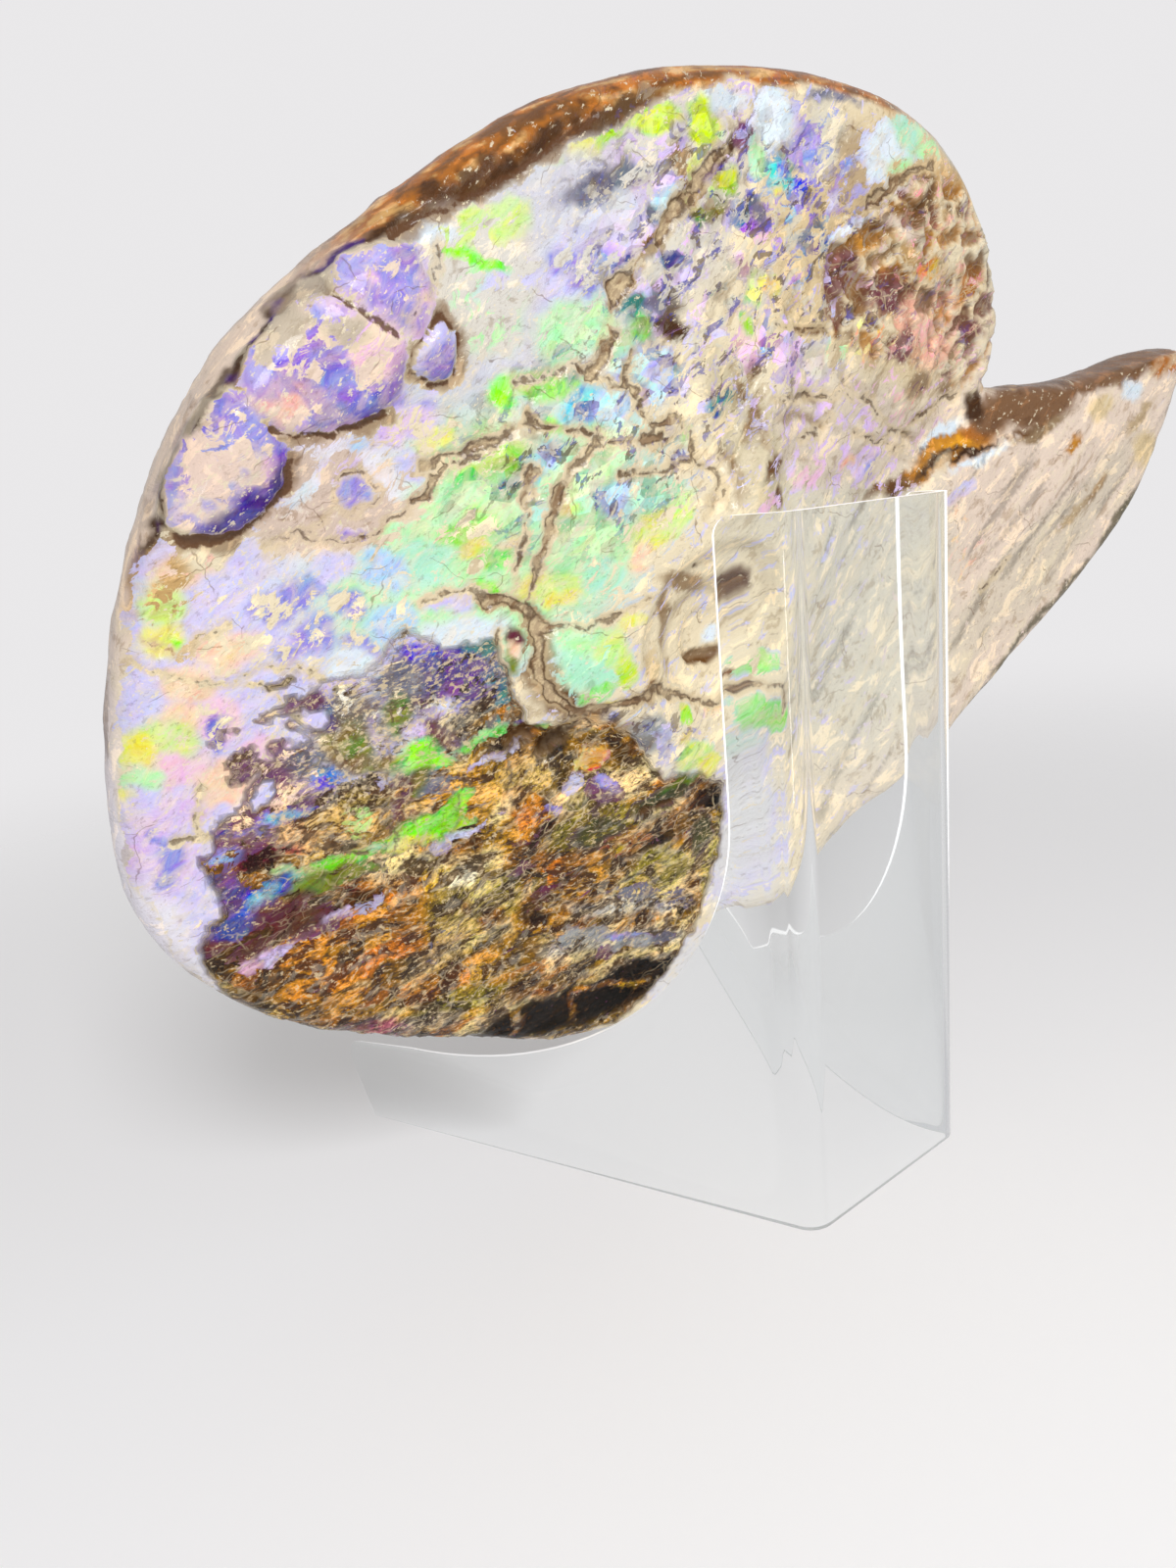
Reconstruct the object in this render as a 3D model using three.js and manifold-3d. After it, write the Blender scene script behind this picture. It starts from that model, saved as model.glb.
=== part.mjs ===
// A large ammonite with its coloured shell, leaning in a stand bent from one sheet of clear acrylic.
// Millimetres, +Z up. The origin is under the middle of the stand's back panel, on the surface it
// stands on. +X runs along the back panel and +Y is the way the stand's low lips point.

import * as THREE from 'three';
import Module from 'manifold-3d';
import { mergeVertices } from 'three/addons/utils/BufferGeometryUtils.js';

const wasm = await Module();
wasm.setup();

// Stand: one acrylic sheet, flat in its three panels and bent at two rounded corners.
const SHEET = 3;
const BACK_WIDTH = 68;
const STAND_HEIGHT = 196;
const SIDE_LENGTH = 172;
const FLARE = THREE.MathUtils.degToRad(20.5);
const BEND_RADIUS = 8;
const BEND_STEPS = 8;

// Cradle edge of a side panel, along the panel (s) and up (z).
const TALL_EDGE = 20;
const TALL_CORNER = 5;
const CRADLE_REACH = 140;
const CRADLE_TOP = 120;
const CRADLE_FLOOR = 30;
const LIP_TOP = [162, 28.3];
const LIP_BEND = [169, 28];
const LIP_CORNER = [168, 20];
const FOOT_FRONT = 161;
const FOOT_UNDER = 160;
const CRADLE_STEPS = 14;
const CUT_OVER = 15;

// Ammonite: where the middle of its coil is, and how its flat side stands.
const COIL_CENTRE = new THREE.Vector3(-27.4, 48.8, 169.7);
const YAW = THREE.MathUtils.degToRad(-10);
const LEAN = THREE.MathUtils.degToRad(10);

// Outline seen square to the flank: degrees from the coil centre, counter-clockwise from the start
// of the last whorl at the notch to its broken end, and the radius there.
const OUTLINE = [
  [26, 122], [32, 133], [40, 140], [48, 143.5], [58, 144], [70, 138], [84, 131.5], [98, 128],
  [110, 126], [122, 125], [134, 127.5], [148, 134.5], [162, 139.5], [176, 145], [188, 151.5],
  [200, 157.5], [212, 153], [225, 142], [238, 132.5], [252, 129.5], [264, 125], [276, 106],
  [290, 97], [304, 91], [316, 93], [328, 103], [338, 115], [348, 134], [356, 158],
  [364, 186], [371, 200], [375.5, 210], [378.3, 214],
];

// How finely the coil is cut: round it, out along the front flank, and out along the back.
const COLUMNS = 118;
const DOME_RINGS = 12;
const BACK_RINGS = 7;

// The rounded rim, as wide as this, and how far out its points between flank and edge are.
const RIM = 9;
const RIM_POINTS = [0.5, 0.85];

// The shoulder round the middle of the coil, and the hollow inside it: [radius, height] on the front.
const SHOULDER_RADIUS = 26;
const SHOULDER_HEIGHT = 28;
const FUNNEL = [[7, 16], [13, 20], [19, 23]];
const FUNNEL_MIDDLE = 15;

// The back: a flatter dome with a wider hollow, and a slightly thinner rim.
const BACK_HEIGHT = 22;
const BACK_FALL = 1.5;
const BACK_RIM = 0.9;
const BACK_FUNNEL_RADIUS = 12;
const BACK_FUNNEL_DEPTH = 14;

// Half thickness of the flank beside the rim, by degrees round the coil.
const RIM_HEIGHT = [
  [26, 6.5], [60, 8], [100, 11], [140, 12], [190, 11], [230, 12], [270, 15], [310, 15], [340, 14],
  [360, 12], [378.3, 10],
];

// How fast the flank falls from the shoulder of the coil to the rim, by degrees round the coil.
const DOME_FALL = [
  [26, 2.6], [60, 1.8], [110, 1.3], [200, 1.3], [280, 1.5], [330, 2.4], [360, 4.4], [378.3, 4.4],
];

// The broken end of the outer whorl: columns from the flap back to the notch.
const END_FACE = [[0.3, 378.9], [0.6, 380.2], [0.82, 383.2]];
const END_SKEW = 4;
const END_SKEW_RADIUS = 120;

// How far the lower edge of the flap bends towards the front.
const BEND = { at: 312, spread: 58, from: 40, to: 100, depth: 13.2 };

// Low relief on the front flank, in the flank's own right (a) and up (b), with the half sizes,
// the turn in degrees and the height of each.
const LUMPS = [
  { a: -84, b: 82, long: 19, wide: 13, turn: 150, height: 3 },
  { a: -99, b: 65, long: 27, wide: 14, turn: 28, height: 3 },
  { a: -120, b: 50, long: 21, wide: 14, turn: 48, height: 3.4 },
  { a: -70, b: 72, long: 9, wide: 6, turn: 60, height: 2.2 },
  { a: 14, b: 52, long: 26, wide: 7, turn: 72, height: 3.2 },
  { a: 70, b: 96, long: 26, wide: 15, turn: 140, height: 2.4 },
  { a: 92, b: 76, long: 20, wide: 14, turn: 110, height: -2.2 },
  { a: 60, b: 60, long: 24, wide: 15, turn: 20, height: 2.2 },
  { a: 98, b: 48, long: 18, wide: 9, turn: 25, height: -3.5 },
  { a: -20, b: 96, long: 26, wide: 15, turn: 10, height: 1.8 },
  { a: -44, b: 44, long: 26, wide: 16, turn: 35, height: 2 },
  { a: -78, b: 34, long: 24, wide: 14, turn: 20, height: -1.8 },
  { a: -48, b: 12, long: 12, wide: 7, turn: 110, height: -2.8 },
  { a: -120, b: 6, long: 18, wide: 12, turn: 80, height: 1.8 },
  { a: -110, b: -34, long: 30, wide: 14, turn: 50, height: 2 },
  { a: -44, b: -22, long: 12, wide: 6, turn: 10, height: -3.2 },
  { a: -24, b: -42, long: 22, wide: 12, turn: 20, height: 2.4 },
  { a: -70, b: -52, long: 30, wide: 9, turn: 28, height: 2.2 },
  { a: -96, b: -76, long: 30, wide: 9, turn: 22, height: 2.2 },
  { a: -48, b: -86, long: 30, wide: 10, turn: 24, height: 2.4 },
  { a: -30, b: -108, long: 24, wide: 8, turn: 14, height: -2 },
  { a: 132, b: 18, long: 34, wide: 10, turn: 52, height: 2.2 },
  { a: 104, b: -10, long: 34, wide: 9, turn: 50, height: -2 },
  { a: 80, b: -44, long: 30, wide: 10, turn: 46, height: 2 },
];

// Each lump is level in its middle and ends between these shares of its half size. The relief
// fades out where the flank is thinner than this at the rim.
const LUMP_EDGE = [0.65, 1.15];
const RELIEF_FADE = 8;

// The back flank has the same kind of unevenness, lower and turned another way.
const BACK_RELIEF = 0.6;

// The dark ledge that parts the coloured flank from the rounded rim along the upper left.
const LEDGE = { from: 88, to: 136, fade: 8, inset: 12, width: 5, depth: 2.4 };

// The knob of stone in the broken end, beside the notch.
const KNOB = { radius: 137, spread: 15, height: 7 };

function smooth(low, high, x) {
  const t = Math.min(Math.max((x - low) / (high - low), 0), 1);
  return t * t * (3 - 2 * t);
}

// A curve through hand-set [degrees, value] pairs, smooth between them.
function curveThrough(pairs) {
  const slope = pairs.map((pair, i) => {
    const before = pairs[Math.max(i - 1, 0)];
    const after = pairs[Math.min(i + 1, pairs.length - 1)];
    return (after[1] - before[1]) / (after[0] - before[0]);
  });
  return (x) => {
    let i = 0;
    while (i < pairs.length - 2 && x > pairs[i + 1][0]) i += 1;
    const width = pairs[i + 1][0] - pairs[i][0];
    const t = Math.min(Math.max((x - pairs[i][0]) / width, 0), 1);
    const rise = (2 * t ** 3 - 3 * t ** 2 + 1) * pairs[i][1] + (3 * t ** 2 - 2 * t ** 3) * pairs[i + 1][1];
    const lean = (t ** 3 - 2 * t ** 2 + t) * slope[i] + (t ** 3 - t ** 2) * slope[i + 1];
    return rise + lean * width;
  };
}

const outlineRadius = curveThrough(OUTLINE);
const rimHeight = curveThrough(RIM_HEIGHT);
const domeFall = curveThrough(DOME_FALL);

function relief(a, b) {
  let height = 0;
  for (const lump of LUMPS) {
    const turn = THREE.MathUtils.degToRad(lump.turn);
    const along = (a - lump.a) * Math.cos(turn) + (b - lump.b) * Math.sin(turn);
    const across = (b - lump.b) * Math.cos(turn) - (a - lump.a) * Math.sin(turn);
    const far = Math.hypot(along / lump.long, across / lump.wide);
    height += lump.height * (1 - smooth(...LUMP_EDGE, far));
  }
  return height;
}

// One section of the ammonite from the middle of the front, over the rim, to the middle of the back:
// each point is [radius, height].
function section(degrees) {
  const radius = outlineRadius(degrees);
  const edge = rimHeight(degrees);
  const flank = radius - RIM;
  const fall = domeFall(degrees);
  const starts = smooth(LEDGE.from, LEDGE.from + LEDGE.fade, degrees);
  const ends = smooth(LEDGE.to - LEDGE.fade, LEDGE.to, degrees);
  const points = [...FUNNEL];
  for (let i = 0; i <= DOME_RINGS; i += 1) {
    const out = i / DOME_RINGS;
    const r = SHOULDER_RADIUS + (flank - SHOULDER_RADIUS) * out;
    const side = Math.max(0, 1 - Math.abs(radius - LEDGE.inset - r) / LEDGE.width);
    const groove = starts * (1 - ends) * LEDGE.depth * side;
    points.push([r, edge + (SHOULDER_HEIGHT - edge) * (1 - out) ** fall - groove]);
  }
  for (const v of RIM_POINTS) points.push([flank + RIM * v, edge * Math.sqrt(1 - v * v)]);
  points.push([radius, 0]);
  const backEdge = edge * BACK_RIM;
  for (const v of RIM_POINTS.toReversed()) points.push([flank + RIM * v, -backEdge * Math.sqrt(1 - v * v)]);
  for (let i = BACK_RINGS; i >= 0; i -= 1) {
    const out = i / BACK_RINGS;
    const r = SHOULDER_RADIUS + (flank - SHOULDER_RADIUS) * out;
    points.push([r, -backEdge - (BACK_HEIGHT - backEdge) * (1 - out) ** BACK_FALL]);
  }
  points.push([BACK_FUNNEL_RADIUS, -BACK_FUNNEL_DEPTH]);
  return points;
}

// Places a [radius, height] point of a section on the disc, with the bend and the relief.
function discPoint(degrees, [radius, height]) {
  const turn = THREE.MathUtils.degToRad(degrees);
  const a = radius * Math.cos(turn);
  const b = radius * Math.sin(turn);
  const away = Math.abs(((degrees % 360) + 360) % 360 - BEND.at);
  const bend = BEND.depth * smooth(BEND.from, BEND.to, radius) * (1 - smooth(0, BEND.spread, away));
  const thick = Math.min(Math.abs(height) / RELIEF_FADE, 1);
  const raised = height > 0 ? relief(a, b) * thick : -BACK_RELIEF * relief(b, a) * thick;
  return new THREE.Vector3(a, b, height + bend + raised);
}

function ammoniteGeometry() {
  const first = OUTLINE[0][0];
  const last = OUTLINE[OUTLINE.length - 1][0];
  const columns = [];
  for (let i = 0; i < COLUMNS; i += 1) {
    const degrees = first + ((last - first) * i) / (COLUMNS - 1);
    columns.push(section(degrees).map((point) => discPoint(degrees, point)));
  }
  const flap = section(last);
  const notch = section(first);
  for (const [part, degrees] of END_FACE) {
    const blend = flap.map(([r, c], i) => [r + (notch[i][0] - r) * part, c + (notch[i][1] - c) * part]);
    columns.push(blend.map(([r, c]) => {
      const skew = END_SKEW * Math.max(0, 1 - r / END_SKEW_RADIUS);
      const knob = KNOB.height * (1 - smooth(0, KNOB.spread, Math.abs(r - KNOB.radius)));
      const lift = (knob / Math.max(r, 1)) * THREE.MathUtils.RAD2DEG * (1 - part);
      return discPoint(degrees + skew + lift, [r, c]);
    }));
  }

  const right = new THREE.Vector3(Math.cos(YAW), Math.sin(YAW), 0);
  const front = new THREE.Vector3(Math.sin(YAW), -Math.cos(YAW), 0);
  const up = front.clone().multiplyScalar(Math.sin(LEAN)).setZ(Math.cos(LEAN));
  const out = front.clone().multiplyScalar(Math.cos(LEAN)).setZ(-Math.sin(LEAN));
  const stand = new THREE.Matrix4().makeBasis(right, up, out).setPosition(COIL_CENTRE);

  const rows = columns[0].length;
  const points = columns.flat();
  const frontMiddle = points.push(new THREE.Vector3(0, 0, FUNNEL_MIDDLE)) - 1;
  const backMiddle = points.push(new THREE.Vector3(0, 0, -BACK_FUNNEL_DEPTH)) - 1;
  const faces = [];
  for (let i = 0; i < columns.length; i += 1) {
    const here = i * rows;
    const next = ((i + 1) % columns.length) * rows;
    faces.push(frontMiddle, here, next);
    for (let j = 0; j < rows - 1; j += 1) {
      faces.push(here + j, here + j + 1, next + j + 1, here + j, next + j + 1, next + j);
    }
    faces.push(backMiddle, next + rows - 1, here + rows - 1);
  }
  const geometry = new THREE.BufferGeometry().setFromPoints(points);
  geometry.setIndex(faces);
  return geometry.applyMatrix4(stand);
}

function solidOf(geometry) {
  const bare = geometry.clone();
  bare.deleteAttribute('normal');
  bare.deleteAttribute('uv');
  const merged = mergeVertices(bare, 1e-4);
  return new wasm.Manifold(new wasm.Mesh({
    numProp: 3,
    vertProperties: new Float32Array(merged.attributes.position.array),
    triVerts: new Uint32Array(merged.index.array),
  }));
}

function geometryOf(solid) {
  const mesh = solid.getMesh();
  const geometry = new THREE.BufferGeometry();
  geometry.setAttribute('position', new THREE.BufferAttribute(mesh.vertProperties, 3));
  geometry.setIndex(new THREE.BufferAttribute(mesh.triVerts, 1));
  return geometry;
}

// The bent sheet seen from above: out along one side panel, round the back and down the other.
function sheetPlan() {
  const half = BACK_WIDTH / 2;
  const back = -SHEET / 2;
  const tangent = BEND_RADIUS * Math.tan((Math.PI / 2 - FLARE) / 2);
  const along = [Math.sin(FLARE), Math.cos(FLARE)];
  const inward = [-Math.cos(FLARE) * SHEET, Math.sin(FLARE) * SHEET];
  const end = [half + along[0] * SIDE_LENGTH, back + along[1] * SIDE_LENGTH];
  const centre = [half - tangent, back + BEND_RADIUS];
  const plan = new THREE.Shape();
  plan.moveTo(-end[0], end[1]);
  plan.absarc(-centre[0], centre[1], BEND_RADIUS, Math.PI + FLARE, 1.5 * Math.PI, false);
  plan.absarc(centre[0], centre[1], BEND_RADIUS, -Math.PI / 2, -FLARE, false);
  plan.lineTo(end[0], end[1]);
  plan.lineTo(end[0] + inward[0], end[1] + inward[1]);
  plan.absarc(centre[0], centre[1], BEND_RADIUS - SHEET, -FLARE, -Math.PI / 2, true);
  plan.absarc(-centre[0], centre[1], BEND_RADIUS - SHEET, 1.5 * Math.PI, Math.PI + FLARE, true);
  plan.lineTo(-end[0] - inward[0], end[1] + inward[1]);
  plan.closePath();
  return plan;
}

// What is cut away from a side panel: above the cradle and in front of the lip.
function cradleCut(side) {
  const cut = new THREE.Shape();
  cut.moveTo(TALL_EDGE - TALL_CORNER, STAND_HEIGHT + CUT_OVER);
  cut.lineTo(TALL_EDGE - TALL_CORNER, STAND_HEIGHT);
  cut.absarc(TALL_EDGE - TALL_CORNER, STAND_HEIGHT - TALL_CORNER, TALL_CORNER, Math.PI / 2, 0, true);
  cut.absellipse(CRADLE_REACH, CRADLE_TOP, CRADLE_REACH - TALL_EDGE, CRADLE_TOP - CRADLE_FLOOR,
    Math.PI, 1.5 * Math.PI, false, 0);
  cut.lineTo(...LIP_TOP);
  cut.quadraticCurveTo(...LIP_BEND, ...LIP_CORNER);
  cut.lineTo(FOOT_FRONT, 0);
  cut.lineTo(FOOT_UNDER, -CUT_OVER);
  cut.lineTo(SIDE_LENGTH + CUT_OVER, -CUT_OVER);
  cut.lineTo(SIDE_LENGTH + CUT_OVER, STAND_HEIGHT + CUT_OVER);
  cut.closePath();
  const across = 4 * SHEET;
  const geometry = new THREE.ExtrudeGeometry(cut, {
    depth: across, bevelEnabled: false, curveSegments: CRADLE_STEPS,
  });
  geometry.translate(0, 0, -across / 2 - (side * SHEET) / 2);
  const along = new THREE.Vector3(side * Math.sin(FLARE), Math.cos(FLARE), 0);
  const up = new THREE.Vector3(0, 0, 1);
  const place = new THREE.Matrix4().makeBasis(along, up, along.clone().cross(up));
  place.setPosition((side * BACK_WIDTH) / 2, -SHEET / 2, 0);
  return geometry.applyMatrix4(place);
}

function standGeometry() {
  const blank = new THREE.ExtrudeGeometry(sheetPlan(), {
    depth: STAND_HEIGHT, bevelEnabled: false, curveSegments: BEND_STEPS,
  });
  const cut = [-1, 1].reduce((sheet, side) => sheet.subtract(solidOf(cradleCut(side))), solidOf(blank));
  return geometryOf(cut);
}

const shell = new THREE.MeshStandardMaterial({ color: '#b9a9bd', roughness: 0.35, metalness: 0.1 });
const acrylic = new THREE.MeshStandardMaterial({
  color: '#eef2f4', roughness: 0.05, metalness: 0, transparent: true, opacity: 0.35,
});

const ammonite = new THREE.Mesh(ammoniteGeometry(), shell);
ammonite.name = 'ammonite';

const displayStand = new THREE.Mesh(standGeometry(), acrylic);
displayStand.name = 'display_stand';

const specimen = new THREE.Group();
specimen.add(ammonite, displayStand);

export default specimen;
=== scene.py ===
import math

import bpy
import numpy as np
from mathutils import Matrix, Vector


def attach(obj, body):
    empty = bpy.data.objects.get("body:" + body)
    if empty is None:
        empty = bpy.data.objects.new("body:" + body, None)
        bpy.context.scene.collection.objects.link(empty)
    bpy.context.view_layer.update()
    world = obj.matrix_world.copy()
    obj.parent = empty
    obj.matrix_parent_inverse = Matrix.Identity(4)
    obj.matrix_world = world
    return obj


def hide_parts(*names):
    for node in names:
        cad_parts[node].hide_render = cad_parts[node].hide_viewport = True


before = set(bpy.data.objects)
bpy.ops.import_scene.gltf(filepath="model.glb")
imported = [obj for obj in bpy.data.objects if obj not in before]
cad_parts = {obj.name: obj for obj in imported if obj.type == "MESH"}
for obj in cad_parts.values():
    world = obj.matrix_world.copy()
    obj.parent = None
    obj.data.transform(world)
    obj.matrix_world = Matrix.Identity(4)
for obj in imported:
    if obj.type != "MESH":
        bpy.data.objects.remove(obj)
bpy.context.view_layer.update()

# Camera. It stands low in front of the near corner of the stand, 0.2 m above the surface that carries
# the stand, looks slightly down at the fossil through a wide lens, and is held a little out of level.
EYE = Vector((-0.2445, -0.1788, 0.2074))
HEADING = math.radians(51.1)
DOWN = math.radians(15.01)
TILT = math.radians(5.22)

ahead = Vector((math.cos(HEADING) * math.cos(DOWN), math.sin(HEADING) * math.cos(DOWN), -math.sin(DOWN)))
level = Vector((math.sin(HEADING), -math.cos(HEADING), 0))
above = level.cross(ahead)
across = level * math.cos(TILT) - above * math.sin(TILT)
upright = level * math.sin(TILT) + above * math.cos(TILT)
lens = bpy.data.cameras.new("camera")
lens.lens = 26.0
lens.sensor_width = 36.0
lens.clip_start = 0.01
camera = bpy.data.objects.new("camera", lens)
turn = Matrix((across, upright, -ahead)).transposed()
camera.matrix_world = Matrix.Translation(EYE) @ turn.to_4x4()
bpy.context.scene.collection.objects.link(camera)
bpy.context.scene.camera = camera

# Display stand. One 3 mm sheet of clear acrylic, cut to its cradle shape, warmed and bent at two
# corners, with its cut edges flame-polished until they are round and bright; their brightness is a
# painted white glow that stands in for the light the sheet carries to them.
MERGE_GAP = 1e-5
EDGE_ROUND = 0.0005
EDGE_TILT = 0.15
SQUARE_ON = 0.9
LIPS_FROM = 0.01
FOOT_HEIGHT = 0.002
ACRYLIC_IOR = 1.49
MIRRORINGS = 2.5


def whole_mesh(operator, **settings):
    """Runs an edit-mode operator on all of the active piece."""
    bpy.ops.object.mode_set(mode="EDIT")
    bpy.ops.mesh.select_all(action="SELECT")
    operator(**settings)
    bpy.ops.object.mode_set(mode="OBJECT")


def finished(piece, name, kind, **settings):
    """Adds a modifier to the active piece and applies it."""
    modifier = piece.modifiers.new(name, kind)
    for setting, value in settings.items():
        setattr(modifier, setting, value)
    bpy.ops.object.modifier_apply(modifier=name)


def carried_copy(node, name):
    """A merged copy of a solid from the frame, alone in the selection."""
    piece = bpy.data.objects.new(name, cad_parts[node].data.copy())
    bpy.context.scene.collection.objects.link(piece)
    bpy.ops.object.select_all(action="DESELECT")
    bpy.context.view_layer.objects.active = piece
    piece.select_set(True)
    whole_mesh(bpy.ops.mesh.remove_doubles, threshold=MERGE_GAP)
    piece.data.materials.clear()
    return piece


stand = carried_copy("display_stand", "acrylic_stand")
whole_mesh(bpy.ops.mesh.dissolve_limited, angle_limit=math.radians(0.5))
faces = stand.data.polygons
# The cut edges, which get the finish with a painted glow.
cut_edge = [
    abs(f.normal.z) > EDGE_TILT or (f.normal.y > SQUARE_ON and f.center.y > LIPS_FROM) for f in faces
]
# The faces of the foot, which are tinted darker as painted shade.
foot = [f.normal.z < -SQUARE_ON and f.center.z < FOOT_HEIGHT for f in faces]
faces.foreach_set("material_index", [int(edge) + int(low) for edge, low in zip(cut_edge, foot)])
finished(stand, "polish", "BEVEL", width=EDGE_ROUND, segments=2, limit_method="ANGLE",
         angle_limit=math.radians(50))
bpy.ops.object.shade_smooth_by_angle(angle=math.radians(35))


def put(socket, value):
    """Gives an input its value, or links another node's output to it."""
    if isinstance(value, bpy.types.NodeSocket):
        socket.id_data.links.new(value, socket)
    else:
        socket.default_value = value


def fill_in(node, inputs):
    for name, value in inputs.items():
        put(node.inputs[name], value)


def added(tree, kind, inputs=None, **settings):
    """A new shader node with these settings and inputs."""
    node = tree.nodes.new("ShaderNode" + kind)
    for setting, value in settings.items():
        setattr(node, setting, value)
    fill_in(node, inputs or {})
    return node


def acrylic(name, tint, roughness, transmission, glow):
    """Clear sheet that casts no hard shadow, and that light leaves straight after a few mirrorings."""
    material = bpy.data.materials.new(name)
    material.use_nodes = True
    tree = material.node_tree
    sheet = tree.nodes["Principled BSDF"]
    fill_in(sheet, {"Base Color": tint + (1,), "Roughness": roughness, "IOR": ACRYLIC_IOR,
                    "Transmission Weight": transmission, "Emission Color": (1, 1, 1, 1),
                    "Emission Strength": glow})
    path = added(tree, "LightPath").outputs
    trapped = added(tree, "Math", {0: path["Glossy Depth"], 1: MIRRORINGS}, operation="GREATER_THAN")
    unlit = added(tree, "Math", {0: path["Is Shadow Ray"], 1: path["Is Diffuse Ray"]}, operation="MAXIMUM")
    faint = added(tree, "Math", {0: unlit.outputs[0], 1: trapped.outputs[0]}, operation="MAXIMUM")
    clear = added(tree, "BsdfTransparent")
    passed = added(tree, "MixShader", {0: faint.outputs[0], 1: sheet.outputs[0], 2: clear.outputs[0]})
    put(tree.nodes["Material Output"].inputs["Surface"], passed.outputs[0])
    return material


stand.data.materials.append(acrylic("clear_acrylic", (0.955, 0.97, 0.97), 0.02, 1.0, 0.0))
# The cut edges' finish has a painted white glow, standing in for light carried along the sheet.
stand.data.materials.append(acrylic("glowing_polished_edge", (0.965, 0.976, 0.985), 0.3, 0.15, 0.45))
# The foot's finish is tinted darker: painted shade for the dark line along the foot.
stand.data.materials.append(acrylic("shaded_foot_edge", (0.72, 0.78, 0.8), 0.2, 0.4, 0.0))
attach(stand, "root")
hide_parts("display_stand")

# Ammonite. One coil of iridescent shell plates over cream and rust-brown stone, with a copper keel, its
# last whorl broken off to the right, polished all over and leant in the stand. Its own directions are
# right and up along the flank and out of it, in millimetres from the middle of the coil.
COIL_CENTRE = np.array([-27.4, 48.8, 169.7])
YAW = math.radians(-10)
LEAN = math.radians(10)
MM = 1000
VOXEL = 0.0011
FAR_SIDE_FROM = -3
FAR_SIDE_KEPT = 0.66
LUMP_SHIFT = 17.31
LUMP_GAIN = 1.7

right = np.array([math.cos(YAW), math.sin(YAW), 0])
facing = np.array([math.sin(YAW), -math.cos(YAW), 0])
up = facing * math.sin(LEAN) + np.array([0, 0, math.cos(LEAN)])
out = facing * math.cos(LEAN) - np.array([0, 0, math.sin(LEAN)])

shell = carried_copy("ammonite", "ammonite_shell")
whole_mesh(bpy.ops.mesh.tris_convert_to_quads, face_threshold=math.pi, shape_threshold=math.pi)
finished(shell, "rounding", "SUBSURF", levels=1, render_levels=1)
shell.data.remesh_voxel_size = VOXEL
shell.data.remesh_voxel_adaptivity = 0
bpy.ops.object.voxel_remesh()


def rows_of(items, field):
    """Places or directions of a mesh's points, one row each."""
    values = np.empty(len(items) * 3, dtype=np.float32)
    items.foreach_get(field, values)
    return values.reshape(-1, 3).astype(float)


def on_flank(points):
    """Places in metres, as millimetres right, up and out from the middle of the coil."""
    away = points * MM - COIL_CENTRE
    return away @ right, away @ up, away @ out


# The far side keeps fewer faces than the coloured one.
a, b, c = on_flank(rows_of(shell.data.vertices, "co"))
shell.vertex_groups.new(name="far_side")
shell.vertex_groups["far_side"].add(np.nonzero(c < FAR_SIDE_FROM)[0].tolist(), 1.0, "REPLACE")
finished(shell, "thinning", "DECIMATE", vertex_group="far_side", ratio=FAR_SIDE_KEPT)
shell.vertex_groups.clear()


def scatter(places, seed):
    """Fixed pseudo-random values from 0 to 1, one for each whole-number place."""
    x, y, z = (places[:, i].astype(np.int64) for i in range(3))
    value = (x * 73856093) ^ (y * 19349663) ^ (z * 83492791) ^ (seed * 40503)
    value = ((value ^ (value >> 13)) * 1274126177) & 0x7FFFFFFF
    return ((value ^ (value >> 15)) & 0xFFFF) / 65535.0


def cloud(places, size, seed, octaves=4):
    """Unevenness from about -1 to 1, with lumps of that size in mm and finer ones on them."""
    total, weight, most = np.zeros(len(places)), 1.0, 0.0
    for octave in range(octaves):
        place = places * (2 ** octave / size) + LUMP_SHIFT * (octave + seed)
        corner = np.floor(place)
        part = place - corner
        part = part * part * part * (part * (part * 6 - 15) + 10)
        for i in range(8):
            step = np.array([i & 1, (i >> 1) & 1, (i >> 2) & 1])
            share = np.prod(np.where(step, part, 1 - part), axis=1)
            total += weight * share * (2 * scatter(corner + step, seed + octave) - 1)
        most += weight
        weight *= 0.5
    return LUMP_GAIN * total / most


def shards(x, y, size, seed):
    """Broken pieces of that size in mm: a value from 0 to 1 for each, and the way to its edge in mm."""
    x, y = x / size, y / size
    cell = np.stack([np.floor(x), np.floor(y), np.zeros_like(x)], axis=1)
    nearest, second, value = np.full_like(x, 9.0), np.full_like(x, 9.0), np.zeros_like(x)
    for i in range(9):
        near = cell + [i % 3 - 1, i // 3 - 1, 0]
        gap = np.hypot(near[:, 0] + scatter(near, seed) - x, near[:, 1] + scatter(near, seed + 1) - y)
        closer = gap < nearest
        second = np.where(closer, nearest, np.minimum(second, gap))
        value = np.where(closer, scatter(near, seed + 2), value)
        nearest = np.where(closer, gap, nearest)
    return value, (second - nearest) * size / 2


def ramp(low, high, x):
    """0 below low, 1 above high, and a soft rise in between."""
    part = np.clip((x - low) / (high - low), 0, 1)
    return part * part * (3 - 2 * part)


def spun(x, y, degrees):
    """The same places, measured along and across a direction."""
    turned = math.radians(degrees)
    return x * math.cos(turned) + y * math.sin(turned), y * math.cos(turned) - x * math.sin(turned)


def spot(x, y, middle_a, middle_b, long, wide, degrees, soft=0.45):
    """1 in an oval, falling to 0 outside it."""
    along, over = spun(x - middle_a, y - middle_b, degrees)
    return 1 - ramp(1 - soft, 1 + soft, np.hypot(along / long, over / wide))


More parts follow.
